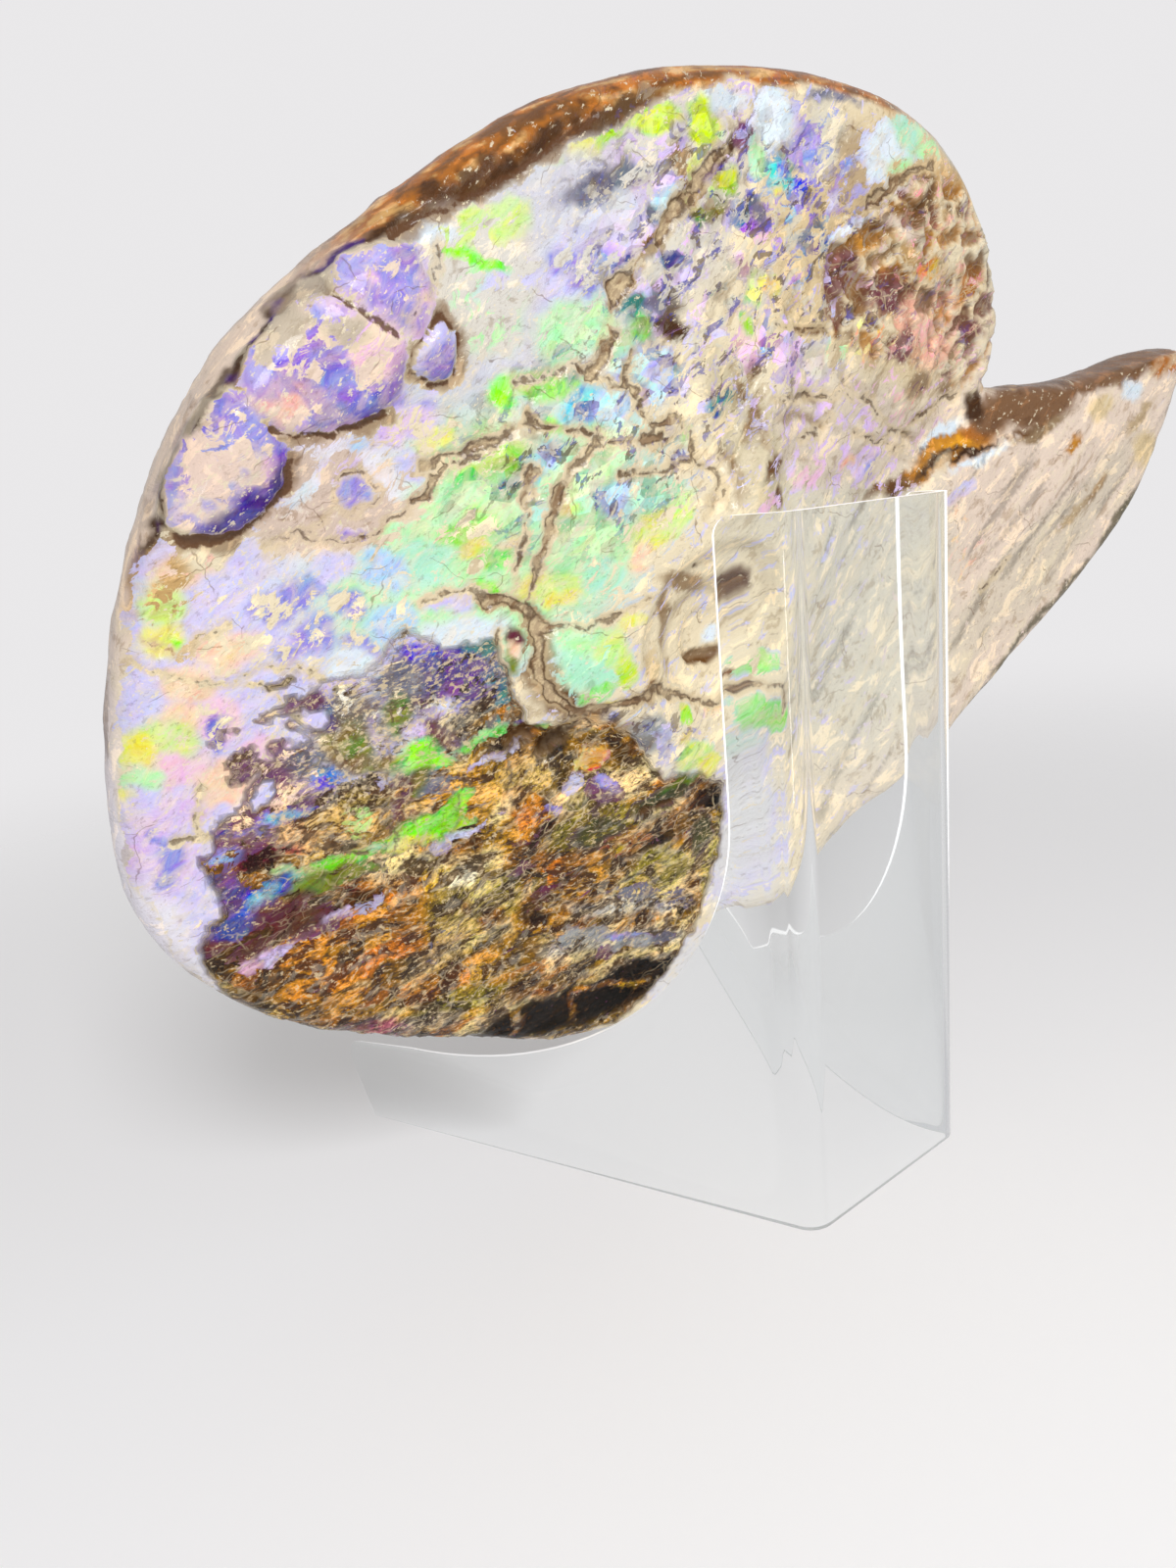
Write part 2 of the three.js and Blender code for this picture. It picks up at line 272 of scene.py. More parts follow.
def line_gap(x, y, line):
    """Distance in mm to a line through given places."""
    gap = np.full_like(x, 1e3)
    for (x0, y0), (x1, y1) in zip(line, line[1:]):
        dx, dy = x1 - x0, y1 - y0
        part = np.clip(((x - x0) * dx + (y - y0) * dy) / (dx * dx + dy * dy + 1e-9), 0, 1)
        gap = np.minimum(gap, np.hypot(x - x0 - part * dx, y - y0 - part * dy))
    return gap


def within(x, y, outline):
    """Distance in mm inside a closed outline, or less than 0 outside it."""
    closed = outline + outline[:1]
    odd = np.zeros(len(x), dtype=bool)
    for (x0, y0), (x1, y1) in zip(closed, closed[1:]):
        if y0 != y1:
            odd ^= ((y0 > y) != (y1 > y)) & (x < (x1 - x0) * (y - y0) / (y1 - y0) + x0)
    return np.where(odd, 1, -1) * line_gap(x, y, closed)


# Where things lie on the coloured flank, in mm right and up: the raised plates, the cracks with their
# half width and depth, the seams in shadow with their half width, and the outlines of the large fields.
PLATES = [
    [(-79, 92), (-74, 90), (-72, 84), (-72, 79), (-76, 73), (-83, 75), (-89, 79), (-94, 82), (-95, 85),
        (-90, 89)],
    [(-95, 82), (-88, 78), (-80, 73), (-79, 69), (-81, 62), (-86, 58), (-92, 56.5), (-100, 55), (-107, 56),
        (-111, 60), (-114, 64), (-113, 69), (-107, 75), (-100, 80)],
    [(-120, 63), (-115, 62.5), (-112, 59), (-108, 54), (-107, 50), (-108, 45), (-112, 40), (-117, 37),
        (-122, 36), (-128, 37), (-132, 41), (-130, 48), (-126, 56)],
    [(-71, 76), (-68, 73), (-67, 69), (-69, 66), (-73, 65.3), (-77.5, 66.5), (-77, 69.5), (-74.5, 73)],
]
CRACKS = [
    (1.5, 1.8, [(2, 112), (-3, 106), (-8, 100), (-14, 93), (-22, 86), (-27, 80), (-29, 73), (-34, 66),
        (-36, 62)]),
    (0.9, 1.3, [(-24, 69), (-26, 62), (-21, 55), (-15, 54), (-11, 51), (-8, 45), (-5, 42), (-2, 35)]),
    (0.7, 1.1, [(-54, 62), (-47, 65), (-40, 66), (-34, 62), (-26, 62)]),
    (0.9, 1.3, [(-40, 53), (-35, 50), (-27, 50), (-20, 51), (-13, 51)]),
    (0.5, 0.9, [(-31, 43), (-26, 44), (-20, 44), (-13, 46), (-9, 45)]),
    (1.1, 1.5, [(-35, 52), (-38, 49), (-43, 45), (-46, 41), (-48, 36), (-49, 30), (-51, 24), (-53, 18),
        (-54, 15)]),
    (0.6, 0.9, [(-52, 47), (-54, 36), (-56, 26), (-57, 19)]),
    (0.9, 1.4, [(-77, 47), (-66, 51), (-57, 54), (-52, 56), (-47, 55), (-41, 53)]),
    (0.8, 1.3, [(-80, 39), (-76, 42), (-72, 46), (-66, 48)]),
    (0.5, 0.8, [(-80, 18), (-73, 20), (-66, 19.5), (-60, 17)]),
    (1.6, 2.0, [(-62, 17), (-57, 16), (-52, 11), (-47, 7)]),
    (1.5, 2.2, [(-52, 11), (-51, 5), (-52, -2), (-51, -8), (-47, -12), (-42, -14), (-36, -15)]),
    (0.7, 1.2, [(-47, 7), (-42, 8), (-36, 10), (-29, 12), (-25, 13)]),
    (0.8, 1.5, [(-36, -15), (-30, -12), (-25, -10), (-17, -13), (-9, -16), (-1, -19), (8, -18), (16, -19),
        (21, -22), (25, -30)]),
    (0.45, 1.0, [(-62, 10), (-61, 2), (-59, -6), (-59, -14)]),
    (0.35, 0.8, [(-83, 12), (-88, 2), (-89, -8), (-90, -20), (-89, -32), (-88, -44), (-87, -52)]),
    (0.35, 0.8, [(-140, -30), (-131, -30), (-122, -31), (-112, -34), (-104, -38), (-96, -42)]),
    (0.3, 0.7, [(-131, -30), (-133, -24), (-131, -18)]),
    (0.3, 0.7, [(-72, -24), (-71.5, -29), (-72, -34)]),
    (0.3, 0.7, [(-61, -24), (-60.5, -30), (-62, -38)]),
    (0.4, 0.8, [(-74, -22), (-64, -21), (-58, -20), (-50, -25), (-40, -17)]),
    (0.25, 0.5, [(-141, 11), (-130, 5), (-119, 4), (-117, 6.5), (-109, 7), (-104, 3)]),
    (0.25, 0.5, [(-118, 4), (-112, -2), (-108, -7), (-102, -14)]),
    (0.25, 0.5, [(-138, 15), (-131, 12), (-122, 19)]),
    (0.4, 1.0, [(15, 57.5), (28, 57), (38, 57), (46, 55), (52, 56)]),
    (0.5, 1.1, [(19, 75), (25, 72.5), (32, 73), (38, 72)]),
    (0.4, 1.0, [(25, 46), (31, 48), (38, 51)]),
    (0.5, 1.1, [(44, 58), (52, 55), (60, 50), (68, 46), (76, 43)]),
    (0.4, 0.9, [(48, 47), (58, 45), (66, 41), (74, 40)]),
    (0.35, 0.9, [(110, -5), (116, 0), (122, 4)]),
    (0.6, 1.4, [(66, 45), (76, 46), (88, 50), (98, 54)]),
    (0.6, 1.2, [(-3, 44), (-5, 38), (-7, 31)]),
    (0.9, 1.4, [(50, 103), (58, 106), (66, 110), (76, 113)]),
    (0.4, 0.8, [(-112, 31), (-104, 34), (-96, 32), (-88, 33), (-81, 36.5)]),
    (0.25, 0.5, [(-105, 34), (-99, 37), (-95, 41)]),
    (0.25, 0.5, [(-96.5, 42), (-94, 46), (-90, 46.5), (-87, 43), (-89, 39), (-93, 38.5), (-96.5, 42)]),
    (0.3, 0.6, [(-79, 76), (-73, 80), (-69, 86), (-66, 92)]),
]
SHADOW_LINES = [
    (0.6, [(-30, 117), (-46, 107), (-60, 100.5), (-70, 96), (-79, 92.5)]),
    (0.7, [(-109, 57), (-104, 54.5), (-97, 54.5), (-90, 56.5), (-84, 59)]),
    (0.8, [(-106, 50), (-107, 45), (-111, 40), (-116, 36.5), (-122, 35), (-128, 36)]),
    (0.4, [(-94, 81), (-88, 77.5), (-81, 73)]),
    (0.35, [(-71, 77), (-67.3, 73.5), (-66.3, 69), (-68.5, 65), (-73, 64.4), (-78.6, 66), (-77.8, 70),
        (-75, 73.8), (-71, 77)]),
]
LOWER_FLANK = [
    (-84, 12), (-92, 6), (-100, 3), (-107, -1), (-112, -8), (-117, -17), (-126, -25), (-132, -31),
    (-132, -42), (-132, -50), (-137, -57), (-136, -65), (-132, -75), (-122, -87), (-107, -99), (-86, -110),
    (-63, -118), (-40, -122), (-22, -119), (-10, -106), (-1, -92), (4, -76), (6, -60), (4, -48), (0, -38),
    (-10, -37), (-20, -35), (-26, -24), (-34, -18), (-44, -16), (-55, -15), (-59, -4), (-62, 8), (-75, 7),
]
UMBILICUS = [
    (-26, 13), (-18, 21), (-6, 27), (8, 25), (18, 16), (22, 4), (22, -8), (18, -17), (6, -19), (-8, -16),
    (-20, -12), (-26, -6), (-28, 4),
]
PITTED = [
    (36, 78), (38, 92), (50, 103), (62, 107), (76, 112), (92, 108), (106, 94), (112, 78), (112, 60),
    (104, 52), (92, 58), (76, 62), (60, 64), (46, 68),
]
FOLD = [
    (16, 68), (12, 72), (8, 62), (3, 52), (-2, 44), (-8, 34), (-6, 27), (4, 28), (8, 36), (14, 46),
    (16, 56),
]
FLAP = [
    (58, 30), (80, 35), (100, 41), (112, 46), (130, 47), (150, 52), (176, 58), (200, 70), (230, 70),
    (230, -60), (100, -120), (30, -60), (26, -20), (24, 10), (40, 28),
]

# Dark pits, with their place, half sizes, turn and depth.
PITS = [
    (-57, -18, 4.5, 3, 10, 3), (-48, -21, 4.5, 2.6, 20, 3.4), (-20, -44, 6, 1.2, 0, 2),
    (8, 8, 4.5, 2.4, -50, 1.4), (-1, -6, 6, 1.2, -8, 1.2),
]
ROUND_START = 22
SECTOR = 3
FAR_GAP = 4.0

a, b, c = on_flank(rows_of(shell.data.vertices, "co"))
spread = np.stack([a, b, c], axis=1)
normals = rows_of(shell.data.vertex_normals, "vector")
outward = normals @ out
front = ramp(0.05, 0.45, outward)
back = ramp(0.05, 0.45, -outward)

# Lines and outlines wander a little, as breaks in stone do.
wander_a = a + 1.6 * cloud(spread, 9, 11, 3) + 0.8 * cloud(spread, 2.8, 13, 2)
wander_b = b + 1.6 * cloud(spread, 9, 23, 3) + 0.8 * cloud(spread, 2.8, 27, 2)
plate_a, plate_b = 0.6 * a + 0.4 * wander_a, 0.6 * b + 0.4 * wander_b
degrees = np.degrees(np.arctan2(b, a))
degrees = np.where(degrees < ROUND_START, degrees + 360, degrees)
reach = np.hypot(a, b)
sector = ((degrees - ROUND_START) // SECTOR).astype(int)
border = []
for i in range(360 // SECTOR):
    turned, far = math.radians(ROUND_START + SECTOR * i), reach[sector == i].max()
    border.append((math.cos(turned) * far, math.sin(turned) * far))

crack = np.full(len(a), FAR_GAP)
groove = np.zeros(len(a))
swell = 0.9 * cloud(spread, 7, 29, 3)
for half_width, depth, line in CRACKS:
    gap = line_gap(wander_a, wander_b, line) - half_width * swell
    crack = np.minimum(crack, gap - 0.75 * half_width)
    groove = np.maximum(groove, 0.7 * depth * (1 - ramp(0, half_width + 0.8, gap)))
# Seams in shadow: carved here as shallow grooves, and painted dark as shadow in the finish.
shadow_seam = np.full(len(a), FAR_GAP)
for half_width, line in SHADOW_LINES:
    gap = line_gap(0.5 * (a + wander_a), 0.5 * (b + wander_b), line) - half_width * swell
    shadow_seam = np.minimum(shadow_seam, gap - half_width)
    groove = np.maximum(groove, 0.9 * (1 - ramp(0, half_width + 0.8, gap)))
plate = np.maximum.reduce([within(plate_a, plate_b, outline) for outline in PLATES])
lower, hub, pitted, fold, flap = (
    within(wander_a, wander_b, outline) for outline in (LOWER_FLANK, UMBILICUS, PITTED, FOLD, FLAP)
)


def drawn_out(x, y, degrees, stretch):
    """Places on which a cloud's lumps come out longer in one direction."""
    along, over = spun(x, y, degrees)
    return np.stack([along / stretch, over, c], axis=1)


def creased(unevenness):
    """Sharp ridges where the unevenness crosses 0."""
    return 1 - 2 * np.abs(unevenness)


# Relief of the flank, in mm out of it.
FINE_RELIEF = 0.34
PLATE_RISE, PLATE_DOME = 1.2, 0.4
LARGE_CHIP, SMALL_CHIP, PIT_SIZE, FAR_CHIP = 8.5, 4, 8, 13
PIT_DEPTH = 1.5
FOLD_RISE, WRINKLE_RISE, LUMP_RISE = 1.3, 0.7, 0.8
COIL_LINE = 9.5
RIBS_ROUND, WHORL_WIDTH = 46, 46

relief = FINE_RELIEF * cloud(spread, 16, 31)
relief += PLATE_RISE * ramp(-0.6, 1.4, plate) + PLATE_DOME * ramp(1, 7, plate)
broken = np.maximum.reduce([
    spot(a, b, 8, 88, 42, 34, 0), spot(a, b, -30, 52, 40, 22, 20), spot(a, b, -34, -24, 26, 12, 0),
])
broken = broken * (1 - ramp(-2, 2, hub)) * (1 - ramp(-2, 2, lower))
value, edge = shards(wander_a, wander_b, LARGE_CHIP, 41)
relief += broken * (0.9 * (value - 0.5) - 0.5 * (1 - ramp(0, 0.9, edge)))
value, edge = shards(wander_a + 3, wander_b, SMALL_CHIP, 47)
relief += broken * 0.5 * (value - 0.5)
streaks = drawn_out(a + 7 * cloud(spread, 30, 157, 2), b + 7 * cloud(spread, 30, 163, 2), 28, 2.6)
fibres = creased(cloud(streaks, 4.2, 53))
relief += ramp(-1, 3, lower) * (0.42 * fibres + 0.3 * cloud(spread, 6, 59, 3))
pit_value, pit_edge = shards(wander_a + 3 * cloud(spread, 7, 199, 3), wander_b + 3 * cloud(spread, 7, 61, 3),
                             PIT_SIZE, 67)
pits = ramp(0.2, 1.6, pit_edge) * ramp(0.15, 0.6, pit_value)
relief += ramp(-1, 4, pitted) * (0.3 - PIT_DEPTH * pits + 0.6 * cloud(spread, 3.5, 71, 3))
folds = creased(cloud(drawn_out(a, b, 68, 6), 4.2, 73))
relief += ramp(-1, 3, fold) * (FOLD_RISE * folds + 0.4)
wrinkles = creased(cloud(drawn_out(a, b, -16, 5), 5, 79))
wrinkled = spot(a, b, 48, 48, 40, 17, -8) * (1 - ramp(-2, 2, fold))
relief += WRINKLE_RISE * wrinkled * wrinkles
lump = spot(wander_a, wander_b, 126, 50, 24, 8, 6)
flap_lines = cloud(drawn_out(a, b, 47, 12), 3.6, 83) * (1 - lump)
relief += ramp(-1, 4, flap) * (0.36 * flap_lines + LUMP_RISE * lump)
swirl = reach - 2.2 * np.radians(np.degrees(np.arctan2(b, a)) % 360)
relief += ramp(-2, 3, hub) * (0.55 * np.sin(swirl * 2 * math.pi / COIL_LINE) * ramp(2, 8, reach))
relief -= groove
for x, y, long, wide, turned, deep in PITS:
    relief -= deep * spot(wander_a, wander_b, x, y, long, wide, turned, 0.4)

# The far side keeps its ribs: low, bent forward, and worn away near the middle.
ribs = np.sin(np.radians(degrees) * RIBS_ROUND + reach * 0.05 + 0.6 * cloud(spread, 30, 89, 2))
ribbed = ramp(52, 80, reach) * ramp(-0.3, 0.5, cloud(spread, 60, 97, 2) + 0.2)
turns = np.mod(reach + 14 * np.radians(degrees) / math.pi, WHORL_WIDTH)
coil_step = 1.3 * (1 - ramp(0.6, 3, np.abs(turns - WHORL_WIDTH / 2)))
behind = 0.5 * ribs * ribbed + 0.5 * cloud(spread, 9, 101) - coil_step
value, edge = shards(wander_a, wander_b, FAR_CHIP, 103)
behind += 0.5 * (value - 0.5) - 0.5 * (1 - ramp(0, 0.8, edge))
edge_on = 1 - np.maximum(front, back)
shift = front * relief + back * behind + edge_on * (0.3 * cloud(spread, 9, 107))
points = rows_of(shell.data.vertices, "co") + normals * shift[:, None] / MM
shell.data.vertices.foreach_set("co", points.astype(np.float32).ravel())
shell.data.update()

# Colours of shell and stone, as the eye sees them in white light, from 0 to 255.
TONES = {
    "cream": (228, 215, 186), "sand": (212, 191, 152), "tan": (190, 156, 106), "taupe": (148, 124, 94),
    "umber": (102, 68, 34), "coffee": (66, 42, 24), "jet": (18, 13, 9), "copper": (166, 104, 48),
    "gold": (232, 166, 62), "rust": (178, 108, 30), "ochre": (194, 134, 54), "maroon": (98, 46, 56),
    "plum": (112, 64, 98), "purple": (92, 58, 148), "violet": (128, 100, 212), "iris": (142, 140, 220),
    "indigo": (54, 58, 160), "royal": (30, 64, 212), "sky": (176, 208, 240), "cyan": (104, 194, 218),
    "teal": (58, 138, 140), "sea": (174, 230, 198), "mint": (188, 238, 176), "green": (140, 230, 96),
    "neon": (128, 244, 0), "lime": (200, 230, 54), "pear": (205, 234, 130), "lemon": (236, 232, 112),
    "peach": (244, 206, 174), "salmon": (238, 180, 158), "pink": (238, 190, 220), "lilac": (216, 190, 236),
    "lavender": (206, 200, 240), "pearl": (232, 228, 238), "ice": (218, 230, 240),
    "silver": (150, 154, 156), "olive": (132, 120, 58), "moss": (112, 136, 36), "bottle": (62, 64, 28),
    "slate": (108, 110, 132), "smoke": (116, 106, 98), "haze": (204, 204, 216), "pale": (212, 208, 200),
    "honey": (238, 204, 140), "bark": (136, 108, 78), "dust": (182, 160, 128),
    "shell_pink": (226, 208, 192), "ash": (214, 208, 190), "moor": (96, 88, 64), "hide": (92, 58, 32),
    "tobacco": (146, 104, 50), "blush": (222, 194, 188), "wine": (112, 62, 70), "grape": (62, 24, 124),
    "mist": (220, 219, 220), "amethyst": (132, 112, 198), "dusk": (208, 188, 174), "khaki": (172, 156, 96),
    "fawn": (168, 156, 142), "flax": (196, 185, 156), "linen": (211, 198, 180), "walnut": (120, 88, 62),
}


def tone(name):
    """A named colour in linear light."""
    part = np.array(TONES[name]) / 255
    return np.where(part <= 0.04045, part / 12.92, ((part + 0.055) / 1.055) ** 2.4)


# Iridescent shell: each patch's place, half sizes, turn and colour, and how much of the stone it hides.
PLAY = [
    (-118, 0, 46, 62, 0, "lavender", 0.78), (-60, 34, 44, 32, 25, "mint", 0.72),
    (-45, 92, 50, 34, 30, "haze", 0.82), (2, 96, 30, 34, 0, "lilac", 0.42),
    (-64, 84, 18, 14, 20, "cream", 0.30), (28, 104, 20, 20, 0, "iris", 0.42),
    (52, 46, 44, 17, -8, "lilac", 0.40), (80, 80, 30, 34, 0, "salmon", 0.34),
    (130, 5, 90, 50, 45, "shell_pink", 0.2),
    # plates along the upper left
    (-97, 42, 18, 12, 20, "pearl", 0.5), (-62, 79, 12, 9, 0, "mint", 0.35),
    (-54, 84, 8, 4, 20, "lavender", 0.5), (-92, 34, 12, 5, 10, "shell_pink", 0.3),
    (-110, 45, 3.4, 8, -15, "violet", 0.8), (-100, 57, 4, 2, 0, "lilac", 0.7),
    (-95, 48, 5, 2, 0, "lilac", 0.6), (-104, 42, 4, 3, 10, "ice", 0.8), (-97, 37, 2.8, 1.7, 0, "lime", 1.0),
    (-100, 34, 8, 1.6, 5, "lilac", 0.8), (-92, 33, 5, 1.4, 0, "violet", 0.6),
    (-108, 38, 5, 3, 0, "sky", 0.5), (-82, 83, 13, 11, 0, "lilac", 0.6), (-80, 85, 6, 3.2, 10, "iris", 0.8),
    (-80, 78, 5, 3.2, 0, "violet", 0.9), (-76, 88, 4, 2.5, 20, "iris", 0.7),
    (-87, 82, 3.5, 2.5, 0, "pink", 0.85), (-75, 76, 4, 5, 20, "pink", 0.85),
    (-97, 68, 18, 13, 25, "lilac", 0.6), (-97, 70, 8, 4, 20, "violet", 0.8),
    (-93, 65, 9, 5, -20, "iris", 0.85), (-103, 67, 5, 3.5, 20, "violet", 0.85),
    (-86, 63, 6, 3.2, 10, "violet", 0.9), (-105, 61, 7, 4.5, 10, "salmon", 0.9),
    (-86, 71, 7, 4.5, -10, "pink", 0.75), (-98, 57, 9, 1.8, 6, "lilac", 0.95),
    (-86, 60, 5, 2, 20, "violet", 0.85), (-120, 50, 14, 14, 0, "shell_pink", 0.5),
    (-118, 61, 5, 3.2, 20, "violet", 0.95), (-122, 56, 6, 4, 50, "violet", 0.85),
    (-113.5, 57, 5, 4, -40, "iris", 0.9), (-119, 55, 4, 3, 0, "iris", 0.8),
    (-127, 49, 4, 4, 60, "lilac", 0.8), (-109, 50, 1.8, 7, -10, "violet", 1.0),
    (-112.5, 42.5, 2.2, 5, -45, "purple", 1.0), (-120, 38, 6, 1.8, -5, "violet", 1.0),
    (-111, 48, 1.6, 4, -10, "pink", 0.9), (-72, 70, 5, 7, -10, "lavender", 0.95),
    (-71, 69, 3, 4, 0, "iris", 0.75), (-92, 42.5, 4, 3.4, 40, "iris", 0.85),
    (-90, 53, 4, 2, 10, "sky", 0.7), (-76, 61, 3, 1.8, 10, "iris", 0.8),
    # upper middle
    (-61, 89, 8, 1.5, -14, "neon", 1.0), (-52, 96, 5, 3, 40, "pear", 0.8),
    (-60, 95, 8, 3, 20, "pear", 0.55), (-57, 60.5, 4, 3.2, 0, "neon", 1.0),
    (-46, 62.8, 10, 2.8, 3, "green", 1.0), (-40, 64.5, 5, 1.4, -10, "teal", 0.95),
    (-42, 107.6, 3.2, 1.4, 30, "lime", 1.0), (-33, 110, 5, 2.6, 25, "lemon", 0.8),
    (-26, 115, 6, 2.6, 20, "lime", 0.95), (-15, 117, 7, 3.4, 10, "lime", 1.0),
    (-2, 117, 4.5, 5, 0, "lime", 1.0), (-4, 108, 5, 2.6, 60, "pear", 0.8),
    (4, 105, 6, 3.6, 30, "lime", 0.8), (1, 99, 5, 3.4, 20, "olive", 0.8),
    (-6, 99, 3.6, 3.6, 0, "moss", 0.8), (-34, 97, 14, 12, 20, "haze", 0.85),
    (-34, 86, 12, 9, 20, "lavender", 0.75), (-32, 86, 7, 5, 20, "iris", 0.45),
    (-40, 88, 4, 3, 0, "iris", 0.5), (-28, 103, 12, 2.6, 15, "slate", 0.6),
    (-14, 98, 4, 4, -40, "sky", 0.95), (-17, 97.5, 2.6, 2, -40, "slate", 0.9),
    (-24.5, 87, 2.4, 1.4, 0, "indigo", 1.0), (-12, 89, 4.4, 1.8, 10, "indigo", 0.9),
    (-8, 84, 3, 1.5, -50, "sky", 0.9), (-40, 72, 9, 6, 30, "mint", 0.75), (-31, 75, 4, 6, 0, "mint", 0.7),
    (-28, 70, 6, 5, 40, "mint", 0.85), (-23, 78, 5, 3, -20, "teal", 0.95),
    (-16, 79, 4, 2, 10, "slate", 0.8), (-12, 75, 4, 2.4, 0, "plum", 0.4),
    (-21, 74, 3, 2.4, 0, "green", 0.95), (-20, 64, 10, 6, 0, "sky", 0.7),
    (-23, 60, 2.6, 1.6, 0, "iris", 0.85), (-38, 58, 6, 3, 10, "cyan", 0.8), (-31, 57, 5, 3, 20, "sky", 0.7),
    (-46, 55, 2, 3, 0, "green", 0.9), (-12, 51, 3, 2.4, 0, "pear", 0.9),
    (-17, 51, 5, 1.3, 10, "indigo", 0.7), (-1, 60, 4, 2.4, 0, "plum", 0.5), (0, 57, 5, 2, 20, "teal", 0.6),
    (-3, 65, 8, 5, 0, "lilac", 0.4), (2, 83, 8, 9, 20, "ash", 0.4), (-6, 82, 4, 6, 30, "lilac", 0.5),
    (10, 70, 4, 6, 0, "pink", 0.55), (14, 82, 3.4, 4.6, -30, "pear", 0.9),
    (18, 84, 3, 2.4, 0, "lemon", 0.8), (11, 74, 2, 2.4, -20, "lime", 0.8),
    (16, 70, 4, 2, 30, "violet", 0.55), (12, 98, 4, 5, 20, "indigo", 0.65),
    (10, 96, 2.6, 2, 0, "royal", 0.9), (15, 100, 2.4, 3, 0, "slate", 0.9),
    (22, 108, 4.4, 3.6, 0, "cyan", 0.75), (24, 110, 2.6, 1.6, 0, "lime", 0.9),
    (21, 105, 1.8, 1.4, 0, "lemon", 1.0), (22, 109, 2, 1.6, 0, "violet", 0.9),
    (28, 106, 3, 2, 20, "royal", 0.6), (29, 114, 6, 4.6, 30, "iris", 0.75),
    (33, 101, 5, 5, 0, "violet", 0.5), (32, 94, 6, 4, 20, "slate", 0.7),
    (36, 92, 4, 2.6, 10, "indigo", 0.5), (34, 86, 6, 2, 10, "violet", 0.5),
    (40, 103, 5, 3, 30, "lavender", 0.7), (38, 112, 5, 6, 0, "iris", 0.4), (9, 87, 4, 3, 0, "pink", 0.5),
    (15, 92, 6, 3, 20, "pink", 0.4),
    # painted highlights of pale gloss under the upper rim
    (-17, 123.5, 14, 1.3, 15, "pearl", 1.0), (4, 122.5, 6.5, 2.6, 0, "ice", 1.0),
    (19, 119, 7, 6.5, 10, "ice", 1.0), (15, 111, 3, 4, 30, "mint", 0.8), (58, 113, 9, 8, 10, "ice", 0.95),
    (68, 119, 9, 5, -15, "sea", 0.7), (62, 110, 6, 3, 20, "mint", 0.6), (74, 117, 6, 3.6, -10, "mint", 0.6),
    (46, 97, 7, 1.4, 35, "ice", 0.9),
    # right of the fold
    (23, 67, 7, 5.5, 20, "lilac", 0.7), (33, 65, 6, 4.6, 0, "ash", 0.8), (43, 68, 6, 4, 0, "mint", 0.25),
    (52, 70, 7, 6, 10, "honey", 0.45), (56, 72, 3, 2, 0, "gold", 0.5), (80, 72, 8, 5, 30, "salmon", 0.7),
    (92, 68, 5, 4, 0, "peach", 0.5), (75, 88, 5, 3, 10, "gold", 0.7), (60, 60, 10, 5, 0, "pink", 0.35),
    (76, 59, 7, 3.4, 5, "plum", 0.3), (57, 38, 7, 4.4, 10, "lilac", 0.85),
    (60, 36, 4, 2.4, 0, "iris", 0.35), (28, 38, 9, 4, 10, "pink", 0.6), (47, 39, 5, 2, 20, "salmon", 0.7),
    (12, 32, 5, 2.4, 0, "pink", 0.7), (86, 52, 10, 5, 20, "lilac", 0.35), (102, 62, 6, 5, 0, "pink", 0.4),
    # middle field
    (-62, 47, 9, 7, 40, "green", 0.75), (-64, 38, 7, 5, 30, "mint", 0.9), (-50, 48, 5, 2.6, 30, "sky", 0.9),
    (-52, 44, 3, 1.6, 50, "cyan", 0.9), (-57, 43, 5, 1.2, 30, "teal", 0.7),
    (-68, 33, 7, 3.6, 20, "green", 0.5), (-66, 28, 4, 2.6, 0, "lemon", 0.8),
    (-58, 29, 3, 3, 0, "peach", 0.8), (-62, 26, 5, 2, 20, "green", 0.7), (-78, 26, 7, 5, 10, "sea", 0.8),
    (-78, 47, 5, 3, 0, "lavender", 0.6), (-80, 56, 8, 5, 20, "lilac", 0.6),
    (-73, 53, 5, 2, 40, "lemon", 0.4), (-50, 36, 5, 6, 0, "sea", 0.85), (-42, 34, 7, 7, 0, "mint", 0.85),
    (-31, 38, 7, 5, 10, "sky", 0.8), (-20, 38, 8, 5, 10, "sea", 0.7), (-22, 29, 8, 4, 30, "lemon", 0.6),
    (-15, 33, 7, 3, 30, "pear", 0.6), (-26, 24, 5, 3, 20, "peach", 0.6), (-36, 26, 6, 5, 0, "mint", 0.8),
    (-45, 36, 2.4, 2, 0, "lemon", 0.8), (-52, 19, 5, 3.4, 20, "lemon", 0.95),
    (-46, 18, 6, 3, 0, "pear", 0.85), (-45, 15, 5, 2, 10, "lemon", 0.6), (-36, 19, 5, 4, 0, "sea", 0.7),
    (-52, 12, 3, 1.2, -40, "teal", 0.9), (-64, 20, 3.4, 1.2, -10, "neon", 0.9),
    (-64, 16.6, 3.4, 0.9, 10, "green", 0.9), (-72, 18, 7, 2.6, 0, "lavender", 0.8),
    (-70, 10, 11, 4, 5, "ice", 0.9), (-40, 4, 8, 5, 30, "mint", 0.7), (-44, -4, 6, 6, 30, "sea", 0.5),
    (-34, 3, 5, 5, 30, "pear", 0.75), (-31, -4, 4, 4, 40, "lime", 0.8), (-38, -9, 5, 3, 20, "green", 0.7),
    (-29, 9, 4, 2.4, 0, "lemon", 0.8), (-34, -13, 4.4, 1.7, 20, "lemon", 1.0),
    (-30, -12, 3, 1.2, 10, "lime", 1.0), (-57, 8, 2.6, 3, 0, "maroon", 1.0),
    (-58, 2, 1.8, 3.4, -10, "moss", 1.0), (-57, 5, 1.6, 1.4, 0, "peach", 0.9),
    # lavender field
    (-105, 23, 5, 4, 20, "iris", 0.75), (-98, 27, 5, 3, 0, "lavender", 0.9),
